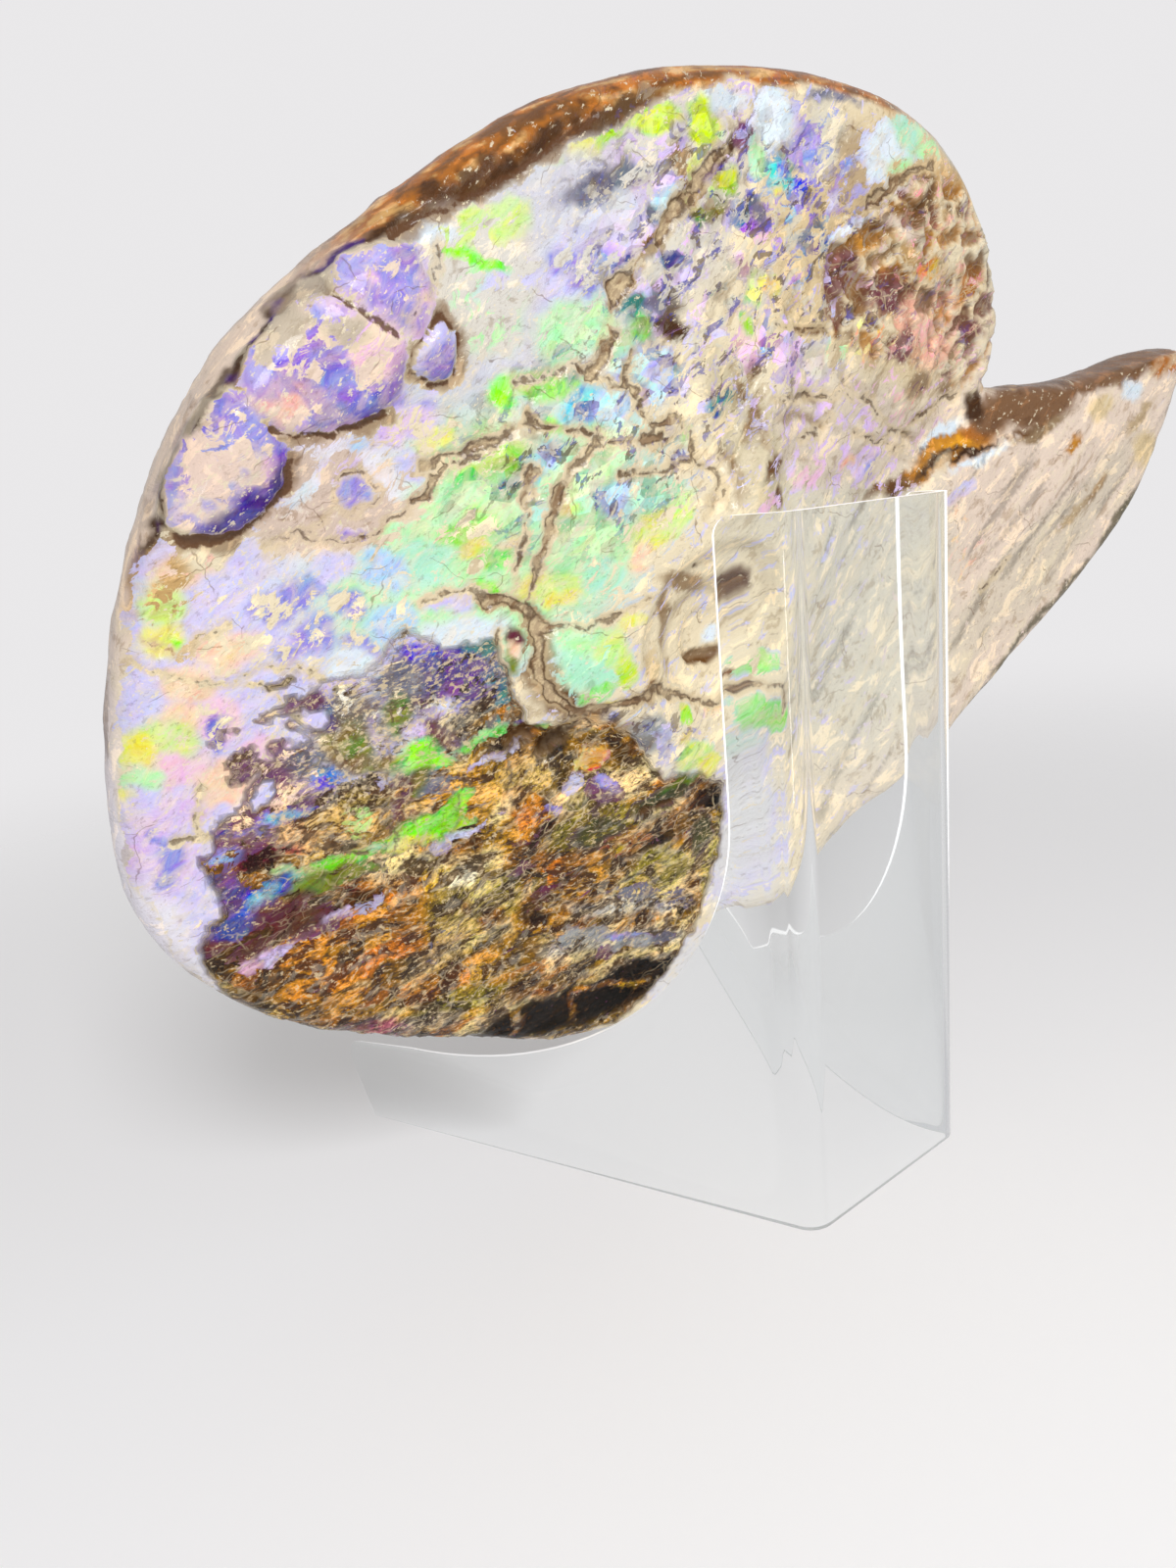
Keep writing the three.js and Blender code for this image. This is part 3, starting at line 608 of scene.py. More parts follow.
    (-104, 13, 5, 4.4, 0, "iris", 0.6), (-95, 19, 4, 3, 0, "iris", 0.45), (-112, 20, 4, 3, 0, "iris", 0.4),
    (-94, 9, 4, 3, 0, "iris", 0.5), (-111, 10, 3, 2.4, 0, "iris", 0.6),
    (-113, 2, 8, 3.6, 0, "lavender", 0.85), (-87, 26, 5, 5, 0, "sky", 0.8), (-86, 14, 6, 5, 0, "sky", 0.7),
    (-85, 33, 4, 3, 0, "mint", 0.6), (-98, 6, 6, 3, 20, "ice", 0.9),
    (-103, 36, 10, 5, 20, "shell_pink", 0.3), (-133, 23, 4.4, 5.4, 0, "pear", 0.7),
    (-134, 15, 5.4, 3, 20, "lemon", 0.9), (-131, 14.6, 1.4, 1, 0, "neon", 1.0),
    (-127, 30, 7, 4, 20, "peach", 0.4), (-122, 12, 6, 5, 0, "peach", 0.5),
    (-131, 5, 6, 4.4, 0, "peach", 0.85), (-134, -3, 5, 3.6, 0, "peach", 0.8),
    (-126, -4, 4, 6, 0, "pink", 0.8), (-126.5, -7, 1.8, 4.4, 0, "violet", 0.5),
    (-138, -8, 7, 6, 0, "pear", 0.7), (-142, -7, 3.6, 3.4, 0, "lemon", 1.0),
    (-136, -13, 8, 4, 0, "pink", 0.85), (-144, -14, 4, 3, 0, "mint", 0.8),
    (-148, -19, 3, 2.6, 0, "lemon", 1.0), (-126, -18, 7, 5, 10, "peach", 0.75),
    (-138, -24, 8, 5, 10, "lilac", 0.9), (-143, -35, 9, 9, 0, "lilac", 0.95),
    (-140, -33.5, 3.4, 4.4, 0, "iris", 0.85), (-142.6, -28.6, 1.8, 1.2, 0, "iris", 0.8),
    (-141, -39, 3.4, 2, 0, "iris", 0.7), (-131, -36.6, 1.8, 2, 0, "iris", 0.9),
    (-138, -47, 6, 5, 0, "lavender", 0.9), (-145, -56, 6, 16, 10, "pearl", 0.95),
    (-138, -70, 8, 8, 30, "pearl", 0.9), (-118, -13, 5, 4, 20, "pink", 0.6),
    # crumbs beside the lower flank and what lies behind the stand's corner
    (-12, -20, 2.6, 3, 10, "lime", 0.8), (-12, -26, 2, 3, 0, "lemon", 0.7),
    (-3, -20, 4, 2, 0, "peach", 0.7), (-9, -32, 6, 4, 20, "pear", 0.85), (-3, -35, 4, 4, 0, "lemon", 0.8),
    (-19, -25, 3, 5, 20, "lavender", 0.7), (-27, -26, 4, 3.4, 0, "slate", 0.5),
    (-18, -33, 5, 3, 0, "ash", 0.8), (-40, -18, 2.6, 1.8, 0, "gold", 0.9),
    (14, -13, 4.4, 3.4, 0, "green", 0.55), (16, -27, 10, 4.4, -28, "green", 0.75),
    (24, -32, 4, 4, 0, "green", 0.7), (10, -34, 9, 3.4, -20, "sea", 0.7),
    (14, -60, 12, 28, 8, "mist", 0.97), (0, -104, 16, 12, 30, "mist", 0.95),
    (10, -50, 5, 8, 0, "lavender", 0.8), (95, 39, 18, 5.4, 17, "gold", 0.05),
    (97, 26, 8, 2.4, 20, "lavender", 0.9), (100, 10, 9, 14, 20, "peach", 0.35),
    # the ice at (172, 52) is a painted glint
    (172, 52, 5.4, 3.6, -20, "ice", 1.0), (126, 49, 25, 9, 6, "copper", 0.0),
    (8, 9, 6.4, 4.2, -50, "copper", 0.03), (-1, -6, 7.4, 2.4, -8, "copper", 0.03),
]

# The same for the lower flank, where shell lies thin over rust-brown stone.
LOWER_PLAY = [
    (-117, -17, 11, 15, 20, "plum", 0.5), (-125, -30, 8, 8, 20, "plum", 0.6),
    (-90, -4, 26, 18, 20, "lavender", 0.62), (-72, -2, 16, 9, 0, "plum", 0.35),
    (-84, 1, 7, 4, 10, "sea", 0.5), (-90, -12, 6, 4, 20, "lilac", 0.6),
    (-74, -8, 6, 3, 10, "lavender", 0.6), (-74, 1, 16, 6, -4, "purple", 0.62),
    (-78, 6, 8, 1.6, -2, "royal", 0.85), (-66, 6.6, 6, 1.8, 6, "teal", 0.95),
    (-62, -6, 5, 9, 0, "teal", 0.45), (-86, 0, 6, 5, 0, "slate", 0.8), (-98, -5, 7, 5, 20, "smoke", 0.6),
    (-104, -4, 2.6, 2.4, 0, "indigo", 0.9), (-108, -2, 5, 3.4, 20, "plum", 0.9),
    (-104, -9, 3, 2.4, 0, "purple", 0.8), (-100, -12, 8, 4, 10, "olive", 0.8),
    (-96, -14, 4, 2.6, 0, "moss", 0.8), (-87, -9, 4, 6, 0, "moss", 0.6),
    (-78, -14, 6, 3.4, 0, "maroon", 0.9), (-84, -13, 3, 2.4, 0, "lilac", 0.7),
    (-69, -6, 6, 3, 10, "purple", 0.5), (-70, -12, 8, 3, 10, "smoke", 0.5),
    (-66, -16, 8, 1.5, 12, "green", 0.9), (-50, -14.6, 5, 1.6, 20, "green", 1.0),
    (-56, -13, 3, 1.6, 0, "indigo", 0.8), (-114, -10, 5, 4, 30, "plum", 0.85),
    (-110, -16, 5, 3.4, 20, "slate", 0.7), (-105, -19, 3.4, 2.6, 0, "royal", 0.6),
    (-118, -19, 7, 4, 15, "plum", 0.7), (-95, -18, 9, 2.4, -12, "olive", 0.8),
    (-82, -20, 6.4, 3.6, 0, "neon", 1.0), (-84, -26, 5, 3.6, 10, "moss", 0.95),
    (-87, -28, 3, 6, 10, "maroon", 0.7), (-77, -27, 5, 4, 0, "slate", 0.55),
    (-64, -22, 9, 1.2, 14, "lavender", 0.8), (-98, -33, 6, 4, 0, "pear", 0.45),
    (-85, -36, 5, 3, 0, "maroon", 0.6), (-73, -33, 2.8, 5, -30, "neon", 1.0),
    (-82, -39.6, 13, 3.2, 8, "neon", 1.0), (-75, -36, 5, 2.4, 40, "neon", 1.0),
    (-84, -42, 6, 1.1, 6, "lemon", 1.0), (-105, -42, 12, 2.4, 5, "neon", 1.0),
    (-92, -41, 4, 1.2, 0, "sea", 0.9), (-114, -42, 5, 1.2, -10, "pear", 0.8),
    (-72, -41.6, 9, 1, 18, "lavender", 0.9), (-106, -46.5, 14, 3, 4, "moss", 0.8),
    (-122, -24, 8, 4, 12, "plum", 0.5), (-119, -30, 12, 1.9, 12, "violet", 0.7),
    (-115, -29.5, 6, 1.2, 12, "cyan", 0.85), (-128, -31, 3.4, 2.4, 30, "purple", 0.95),
    (-126, -33, 5, 2, 20, "plum", 0.8), (-128, -37, 4, 2.6, 10, "iris", 0.6),
    (-129, -45, 6, 5, 20, "purple", 0.85), (-124, -50, 12, 3.4, 38, "royal", 1.0),
    (-121, -47, 5, 1.8, 40, "cyan", 0.9), (-131, -55.5, 6, 3.2, 30, "indigo", 1.0),
    (-135, -60, 4, 3, 20, "maroon", 0.95), (-118, -52, 8, 4, 25, "maroon", 0.6),
    (-112, -57, 8, 4, 20, "maroon", 0.7), (-125, -63, 6, 4, 15, "maroon", 0.8),
    (-120, -65, 6, 2, 20, "lilac", 0.8), (-127, -67, 3.4, 2.4, 0, "pink", 0.8),
    (-100, -57, 10, 1.3, 22, "lavender", 0.7), (-110, -61, 8, 1.4, 15, "plum", 0.8),
    (-41, -28, 1.4, 3, -20, "lemon", 1.0), (-37, -28, 4, 3.4, 0, "gold", 1.0),
    (-43, -33, 4, 2.2, 0, "lavender", 0.8), (-35, -37, 5, 3.6, 0, "plum", 0.95),
    (-34, -35, 2.6, 2, 0, "iris", 0.8), (-50, -38, 3, 1.6, 0, "iris", 0.7),
    (-55, -46, 5, 8, -10, "maroon", 0.4), (-56, -56, 3.4, 2, 20, "plum", 0.95),
    (-50, -66, 8, 3, 60, "maroon", 0.6), (-44, -64, 5, 5, 0, "maroon", 0.4),
    (-12, -38, 9, 2.6, 4, "moss", 0.85), (-20, -42, 10, 3.4, 4, "bottle", 0.85),
    (-37, -48, 8, 5, 15, "bottle", 0.7), (-2, -58, 4, 9, 0, "bottle", 0.8),
    (-26, -54, 8, 4, 0, "rust", 0.5), (-20, -73, 12, 2.6, -18, "slate", 0.7),
    (-38, -82, 12, 3, -12, "silver", 0.7), (-24, -86, 9, 1.3, -20, "iris", 0.9),
    (-20, -90, 10, 2.2, -14, "silver", 0.85), (-10, -91, 4, 2, 0, "slate", 0.9),
    (-30, -90, 5, 2.4, -30, "plum", 0.7), (-8, -78, 8, 4, -20, "slate", 0.5),
    (-78, -72, 8, 5, 60, "slate", 0.35), (-100, -95, 12, 3, -25, "plum", 0.4),
]

# Bare stone: each patch's place, half sizes, turn and colour.
STONE = [
    (-34, 94, 44, 26, 24, "pale"), (60, 88, 46, 34, 0, "sand"), (78, 92, 30, 22, 0, "tan"),
    (130, 5, 100, 62, 45, "shell_pink"), (150, 10, 40, 9, 45, "linen"), (118, -6, 40, 8, 40, "linen"),
    (50, 5, 42, 60, 20, "ash"), (14, -62, 14, 34, 8, "mist"), (-134, 25, 7, 16, 12, "tan"),
    (-110, 74, 9, 3, 38, "taupe"), (-102, 79, 8, 2.4, 30, "taupe"), (-113, 66, 3, 3, 0, "taupe"),
    (-80, 90, 6, 1.6, -5, "smoke"), (-69, 92.5, 6, 1.7, 12, "ice"), (-33, 104, 12, 3, 18, "smoke"),
    (-7, 106, 5, 8, 40, "taupe"), (3, 111, 6, 2.6, 50, "coffee"), (10, 114.5, 4, 2.6, 0, "plum"),
    (2, 107.5, 4, 2.2, 10, "purple"), (-8, 100.5, 6, 2.2, 40, "umber"), (-17, 91.5, 8, 2.2, 45, "umber"),
    (-25, 82, 7, 1.8, 55, "umber"), (-32, 70, 8, 1.8, 60, "bark"), (-16, 78, 7, 4, 20, "smoke"),
    (-12, 74, 5, 2.6, 0, "coffee"), (38, 124.6, 9, 1.8, 3, "slate"), (36, 115, 8, 8, 0, "ash"),
    (46, 110, 7, 7, 0, "dust"), (57, 104.4, 8, 2.2, 12, "umber"), (72, 104, 6, 5, 60, "umber"),
    (70, 95, 7, 2, -50, "umber"), (64, 97, 6, 3, -25, "shell_pink"), (86, 104, 6, 4, 0, "taupe"),
    (80, 99, 6, 6, 0, "tan"), (52, 95, 7, 5, 20, "sand"), (52, 95, 3.4, 2.4, 20, "gold"),
    (60, 89, 9, 4, 10, "tan"), (92, 92, 10, 10, 30, "cream"), (44, 85, 6.5, 4.6, 40, "maroon"),
    (60, 81, 9, 5, -8, "maroon"), (66, 69, 6.5, 4, 15, "maroon"), (98, 71, 4.6, 3, 10, "maroon"),
    (88, 84, 7, 3, 40, "umber"), (42, 73, 2, 2.4, 0, "umber"), (32, 72, 8, 1.2, -8, "umber"),
    (80, 74, 12, 8, 20, "salmon"), (76, 58, 8, 3.6, 5, "taupe"), (92, 56, 6, 2.4, 20, "taupe"),
    (52, 57, 5, 2.6, -20, "taupe"), (48, 46, 38, 14, -8, "linen"), (-98, 42, 20, 14, 0, "dusk"),
    (-2, -4, 30, 26, 0, "cream"), (-12, 15, 10, 2.6, -20, "taupe"), (-18, 7, 2.6, 8, 12, "taupe"),
    (-21, -5, 2.2, 6, 10, "sand"), (-22, -11, 5, 1.8, -20, "umber"), (8, 9, 5.8, 3.6, -50, "hide"),
    (7.6, 8, 3.4, 1.7, -50, "tan"), (-1, -6, 6.8, 1.9, -8, "umber"), (-1, -5.6, 4.8, 0.9, -8, "dust"),
    (3, -1.6, 2.2, 2.2, 0, "ice"), (9, -13.4, 1.6, 0.9, 0, "umber"), (-9, 20, 1.6, 0.8, -60, "coffee"),
    (-25, -24, 16, 8, 0, "cream"), (-24, -22, 6, 5, 0, "silver"), (-34, -20, 5, 3, 0, "taupe"),
    (-38, -17, 4, 2, 0, "ochre"), (-34, -17, 3, 2.4, 0, "slate"), (-52, 3, 5, 14, 5, "taupe"),
    (-60, 14, 7, 3, -30, "taupe"), (-47, -10, 6, 4, -50, "umber"), (-57, -18, 4.6, 3, 10, "coffee"),
    (-48, -21, 4.6, 2.6, 20, "jet"), (-54, -18, 1.6, 1.2, 0, "rust"), (-40, 0, 8, 9, 30, "sea"),
    (7, 48, 8, 22, 22, "flax"), (9, 52, 2, 13, 20, "taupe"), (1, 40, 2, 7, 22, "taupe"),
    (13, 42, 4, 2.4, 30, "umber"), (16, 33, 1.2, 2.6, 0, "umber"), (80, 33.6, 22, 2.4, 15, "umber"),
    (96, 39, 19, 4.4, 17, "ochre"), (101, 41, 9, 1.4, 18, "gold"), (88, 35.6, 12, 1.2, 16, "coffee"),
    # the two ice strips beside the gold recess, here and on the next line, are painted glints
    (108, 44, 7, 3, 14, "copper"), (92, 41.8, 10, 0.8, 20, "coffee"), (93, 43, 10, 1.3, 21, "ice"),
    (103, 37.6, 12, 0.7, 16, "coffee"), (105, 36, 13, 1.2, 16, "ice"), (112, 47, 6, 5, 20, "walnut"),
    (128, 50, 19, 6.4, 6, "walnut"), (120, 56, 12, 1.2, 4, "tan"), (128, 43.5, 12, 1.3, 12, "umber"),
    (106, 51, 4, 5, 30, "coffee"), (150, 54, 14, 2.2, 5, "walnut"), (168, 57, 10, 3.4, 12, "walnut"),
    (186, 64, 12, 6, 20, "umber"), (188, 60, 8, 4, 20, "copper"), (158, 48, 5, 3, 0, "sand"),
    # the ice at (172, 52) is a painted glint
    (130, 42, 12, 2, 16, "taupe"), (96, 25, 4, 1, 10, "taupe"), (172, 52, 5.4, 3.6, -20, "ice"),
    (160, 22, 8, 2, 40, "taupe"), (104, 92, 18, 5, -60, "ash"), (186, 32, 6, 10, 60, "sand"),
    (150, 14, 8, 2, 40, "dust"), (178, 44, 8, 2, 40, "dust"), (145, 38, 4, 1.6, 30, "ochre"),
]

# Dark stain along the flap's lower edge.
EDGE_STAIN = [
    (172, 9, 12, 2.2, 46, "moor"), (180, 17, 6, 2, 52, "moor"), (149, -10, 20, 1.8, 31, "moor"),
    (125, -25, 14, 1.5, 29, "moor"), (107, -38, 9, 1.4, 30, "moor"),
]

# Stone in the pitted field.
PIT_STONE = [
    (44, 86, 6.5, 4.8, 30, "wine"), (60, 81, 8.5, 4.8, -8, "wine"), (66, 69, 6, 3.6, 15, "wine"),
    (99, 71, 4.4, 3, 10, "wine"), (58, 98, 10, 4, 20, "tobacco"), (72, 101, 7, 3, 50, "umber"),
    (62, 97, 6.5, 1.8, -25, "shell_pink"), (50, 94, 5, 3, 20, "ochre"), (77, 88, 3, 1.6, 10, "gold"),
    (70, 76, 6, 3, 10, "salmon"), (84, 67, 8, 4, 20, "salmon"), (96, 84, 7, 3, 60, "rust"),
]

# Stone of the lower flank, and the dark places laid over it.
LOWER_STONE = [
    (-94, -6, 28, 18, 15, "fawn"), (-92, -5, 22, 14, 15, "pale"), (-118, -18, 12, 18, 20, "blush"),
    (-70, 0, 12, 8, 0, "slate"), (-100, -32, 26, 8, 5, "tan"), (-70, -29, 11, 8, 0, "ochre"),
    (-56, -28, 8, 6, 0, "tan"), (-92, -62, 20, 10, 18, "rust"), (-84, -58, 8, 5, 20, "ochre"),
    (-106, -70, 22, 10, 12, "rust"), (-112, -66, 8, 4, 20, "ochre"), (-72, -62, 12, 14, 0, "khaki"),
    (-72, -52, 5, 3, 10, "ash"), (-70, -66, 6, 6, 0, "khaki"), (-60, -58, 3, 12, 0, "olive"),
    (-80, -76, 10, 6, 20, "taupe"), (-66, -84, 9, 4, 5, "ochre"), (-100, -86, 16, 5, -5, "rust"),
    (-48, -58, 4, 6, 10, "rust"), (-36, -60, 12, 8, 0, "tobacco"), (-40, -68, 10, 6, 0, "tobacco"),
    (-110, -46, 14, 3, 0, "bottle"), (-108, -54, 10, 4, 8, "coffee"), (-56, -46, 7, 9, -10, "rust"),
    (-38, -46, 12, 7, 10, "olive"), (-20, -44, 6.4, 1.3, 0, "jet"), (-14, -54, 12, 6, 0, "umber"),
    (-14, -66, 12, 8, 0, "olive"), (-24, -76, 18, 3, -12, "silver"), (-36, -84, 16, 3.4, -10, "silver"),
    (-14, -90, 12, 3, -10, "silver"), (-70, -93, 18, 4, 5, "olive"), (-50, -94, 16, 4, 0, "umber"),
    (-64, -103, 5, 4, 0, "taupe"), (-84, -98, 10, 4, -10, "smoke"), (-96, -96, 10, 4, -25, "plum"),
    (4, -70, 3, 20, 0, "olive"), (-124, -74, 8, 5, 50, "umber"), (-38, -28, 4, 3, 0, "gold"),
]
LOWER_DARK = [
    (-40, -108, 32, 8.5, 0, "jet"), (-16, -103, 12, 6, 12, "jet"), (-38, -108, 1.2, 6, 0, "umber"),
    (-56, -106, 1.4, 5, -10, "umber"), (-44, -98, 14, 2, 0, "umber"), (-24, -104.6, 8, 1.2, -8, "gold"),
    (-34, -103, 4, 1, 0, "rust"), (-57, -18, 4.6, 3, 10, "coffee"), (-48, -21, 5, 3, 20, "jet"),
    (-54, -18, 1.6, 1.2, 0, "rust"), (-20, -44, 6.6, 1.4, 0, "jet"), (0, -47, 4, 2, 0, "jet"),
    (-110, -46, 10, 1.6, 4, "coffee"), (-116, -55, 16, 4.5, 14, "maroon"), (-120, -37, 8, 3, 15, "maroon"),
    (-104, -55, 12, 3, 8, "coffee"), (-108, -52, 6, 3, 0, "bark"), (-52, -44, 5, 3, 30, "coffee"),
    (-64, -70, 3, 4, 20, "umber"), (-71, -63, 2.4, 2.8, 0, "bark"), (-126, -60, 7, 3, 30, "coffee"),
]

# Grey and blush parts of the plates.
PLATE_GREY = [
    (-104, 73, 8, 3.4, 50, "fawn", 0.2), (-93, 75, 7, 2.2, -10, "fawn", 0.2),
    (-96, 83, 5, 3.4, 40, "fawn", 0.25), (-84, 91, 7, 2, 10, "fawn", 0.25),
    (-121, 50, 5, 6, -20, "blush", 0.35), (-98, 57.4, 9, 1.6, 6, "blush", 0.3),
]
PATCH_SOFT = 0.32


def lay(patches, tones, cover=None, strength=1.0):
    """Lays soft-edged patches over colours that are already there, in the order given."""
    for patch in patches:
        over = strength * spot(wander_a, wander_b, *patch[:5], PATCH_SOFT)[:, None]
        tones += over * (tone(patch[5]) - tones)
        if len(patch) > 6:
            cover += over[:, 0] * (patch[6] - cover)


def mixed(first, second, part):
    """Two colours, each by its name or point by point, mixed point by point."""
    first, second = (tone(paint) if isinstance(paint, str) else paint for paint in (first, second))
    return first + (second - first) * part[:, None]


play, stone, low_play = (np.tile(tone(name), (len(a), 1)) for name in ("lavender", "cream", "plum"))
cover = np.full(len(a), 0.3)
lay(STONE, stone)
lay(PLAY, play, cover)
patchy = drawn_out(a + 4 * cloud(spread, 26, 157, 2), b + 4 * cloud(spread, 26, 163, 2), 20, 2.2)
bands = cloud(patchy, 8, 151)
low_stone = mixed("coffee", "tobacco", ramp(-0.45, 0.0, bands))
low_stone = mixed(low_stone, "sand", 0.8 * ramp(0.1, 0.45, bands))
low_cover = np.full(len(a), 0.12)
lay(LOWER_STONE, low_stone, strength=0.8)
lay(LOWER_DARK, low_stone)
lay(LOWER_PLAY, low_play, low_cover)
frayed = spot(a, b, -118, -14, 20, 30, 30)
in_lower = ramp(-0.9, 0.9, lower + frayed * (12 * cloud(patchy, 3.2, 173, 3) - 1))
play, stone = mixed(play, low_play, in_lower), mixed(stone, low_stone, in_lower)
cover = cover + (low_cover - cover) * in_lower
cover *= 1 - 0.9 * ramp(0.4, 1.6, -crack + 1.4) * (1 - in_lower)

# Painted shadow round the plates, as a band of bare brown stone along their seams, and on each plate
# flakes of colour, a grey part and a dark violet hem.
HEMS = (0.25, 0.45, 1, 0.25)

plate_shadow_band = (1 - ramp(0.4, 2.1, shadow_seam + 1.4 * cloud(spread, 6, 193, 3))) * (1 - ramp(-0.8, 0.2, plate))
stone = mixed(stone, "bark", 0.8 * plate_shadow_band)
cover *= 1 - 0.85 * plate_shadow_band
violet_part = ramp(-0.2, 0.3, cloud(spread, 5, 179, 3))
in_plate = ramp(0.5, 1.5, plate)
flakes = ramp(-0.3, 0.1, cloud(spread, 5.5, 191)) * in_plate
play = mixed(play, mixed("iris", "amethyst", violet_part), 0.7 * flakes)
cover = cover + (0.5 + 0.3 * flakes - cover) * in_plate
stone = mixed(stone, "blush", 0.8 * in_plate)
lay(PLATE_GREY, stone, cover, 0.9)
hem_play = mixed("grape", "violet", 0.3 * violet_part)
hem_wander = 2.2 * cloud(spread, 5, 181, 3)
for outline, hem_part in zip(PLATES, HEMS):
    x, y = np.mean(outline, axis=0)
    inside = within(plate_a, plate_b, outline)
    lower_side = ramp(0.1, 0.7, ((a - x) * 0.6 - (b - y) * 0.8) / np.hypot(a - x, b - y))
    hem = hem_part * lower_side * ramp(0, 0.6, inside) * (1 - ramp(2.6, 5.2, inside + hem_wander))
    play = mixed(play, hem_play, hem)
    cover = cover + (1.2 - cover) * hem

# Stone of the pitted field, the fold, the wrinkles beside it and the flap, with painted shade in the
# valleys of the fold, the wrinkles and the flap's lines, and painted light in cream on the fold's ridges.
in_pits = ramp(-1, 3, pitted)
for low, high, name in [
    (0.2, 0.42, "umber"), (0.42, 0.62, "wine"), (0.62, 0.78, "ochre"), (0.78, 1.01, "taupe"),
]:
    chosen = ramp(low - 0.02, low, pit_value) * (1 - ramp(high - 0.02, high, pit_value))
    stone = mixed(stone, name, 0.8 * in_pits * chosen * ramp(0.5, 1.3, pit_edge))
stone = mixed(stone, "cream", 0.8 * in_pits * (1 - ramp(0.1, 0.9, pit_edge)))
lay(PIT_STONE, stone, strength=0.85)
in_fold = ramp(-1, 3, fold)
in_flap = ramp(-1, 4, flap)
# Taupe in the valleys is painted shade, and cream on the fold's ridges is painted light.
for name, part in [
    ("taupe", 0.75 * in_fold * ramp(0, 0.5, -folds)),
    ("cream", 0.4 * in_fold * ramp(0.45, 0.85, folds)),
    ("taupe", 0.5 * wrinkled * ramp(0.1, 0.6, -wrinkles)),
    ("cream", 0.5 * in_flap * ramp(0.3, 0.6, flap_lines)),
]:
    stone = mixed(stone, name, part)
# Painted shade: a darker copy of the stone in the valleys between the flap's lines.
stone = mixed(stone, stone * 0.6, in_flap * ramp(0.45, 0.8, -flap_lines))

# Keel: copper-brown and rounded along the top, with honey streaks that are painted gold highlights,
# pale down the left, the pearl there a painted glossy highlight strip, and dull brown again round the right.
KEEL_DEGREES = [22, 60, 88, 92, 104, 118, 130, 140, 160, 198, 206, 240, 248]
KEEL_WIDTHS = [1, 2.4, 4.5, 6, 9, 10, 4.5, 3, 2.5, 3.5, 1, 0.8, 3]


def arc(rise_from, rise_to, fall_from, fall_to):
    """1 along a part of the rim, given in degrees round the coil, with soft ends."""
    return ramp(rise_from, rise_to, degrees) * (1 - ramp(fall_from, fall_to, degrees))


inset = line_gap(a, b, border + border[:1])
band = np.interp(degrees, KEEL_DEGREES, KEEL_WIDTHS)
band_edge = band + 1.5 * cloud(spread, 8, 109, 3) - inset
keel = np.where((degrees > 40) & (degrees < 250), ramp(-1.2, 1.2, band_edge), 0)
keel = np.maximum(keel, 1 - ramp(0.1, 0.4, outward)) * (1 - ramp(0, 0.5, lump))
inner = ramp(0.3, 0.6, inset / np.maximum(band, 1) + 0.3 * cloud(spread, 4, 197, 3)) * arc(90, 100, 124, 132)
rim_grain_and_glint = cloud(np.stack([reach * np.radians(degrees) / 3, inset, c], axis=1), 2.2, 167, 3)
# Honey streaks along the rim are painted gold highlights.
keel_stone = mixed("copper", "honey", 0.45 * ramp(0.2, 0.6, rim_grain_and_glint))
for name, part in [
    ("umber", 0.8 * ramp(0.05, 0.5, -rim_grain_and_glint)),
    ("coffee", 0.9 * inner),
    ("ash", 0.9 * (1 - ramp(54, 68, degrees))),
    ("shell_pink", 0.9 * arc(130, 142, 250, 262)),
    # the pearl down the left is a painted glossy highlight strip
    ("pearl", arc(168, 196, 240, 256)),
    ("umber", 0.9 * arc(202, 210, 254, 262) * ramp(-0.5, 0.0, bands)),
    ("taupe", arc(258, 268, 372, 380)),
    ("walnut", 0.8 * ramp(362, 372, degrees)),
    ("walnut", 0.8 * (1 - ramp(24, 30, degrees))),
]:
    keel_stone = mixed(keel_stone, name, part)
stone = mixed(stone, keel_stone, keel)
cover *= 1 - keel
lay(EDGE_STAIN, stone, strength=0.9)
rim_line = (1 - ramp(0.3, 1.1, np.abs(band_edge))) * arc(122, 130, 164, 172) * front
stone = mixed(stone, mixed("coffee", "grape", 0.7 * violet_part), rim_line)
cover *= 1 - rim_line

# The far side: bronze and muted green and red shell over grey-brown stone.
far_play = "olive"
for size, seed, first, second in [
    (34, 113, "maroon", "moss"), (22, 127, "gold", "teal"), (15, 131, "copper", "plum"),
]:
    field = cloud(spread, size, seed, 3)
    far_play = mixed(far_play, first, ramp(0.1, 0.5, field))
    far_play = mixed(far_play, second, ramp(0.1, 0.5, -field))
far_stone = mixed("taupe", "umber", ramp(-0.4, 0.5, cloud(spread, 26, 137)))
far_cover = 0.35 + 0.4 * cloud(spread, 40, 139, 3)
hidden = ramp(0, 4, -c - 4) * (1 - front)
play, stone = mixed(play, far_play, hidden), mixed(stone, far_stone, hidden)
cover = cover + (far_cover - cover) * hidden

# Where the finish draws its streaks, threads, white grains with painted glints among them, and chips.
off_black = 1 - spot(a, b, -40, -108, 34, 9, 0)
net = in_lower * np.maximum(0.55, spot(a, b, -40, -52, 36, 24, 20))
net = net * ramp(-0.5, 0.1, cloud(spread, 18, 149, 2)) * (1 - spot(a, b, -84, -2, 34, 18, 15))
net = np.clip(net * off_black + 0.8 * ramp(0, 4, pitted), 0, 1)
speckle = in_lower * (0.45 + 0.55 * spot(a, b, -84, -6, 34, 20, 15)) * off_black
speckle += 0.3 * ramp(0, 1, plate) + 0.3 * spot(a, b, -110, 12, 30, 26, 0) + 0.2 * frayed
speckle = np.clip(speckle, 0, 1)
mosaic = np.clip(0.9 * broken + 0.5 * in_lower + 0.5 * in_pits, 0, 1)
level_share = ramp(0.35, 0.6, outward) + 0.4 * ramp(0.35, 0.6, -outward)
shown_side = 1 - hidden


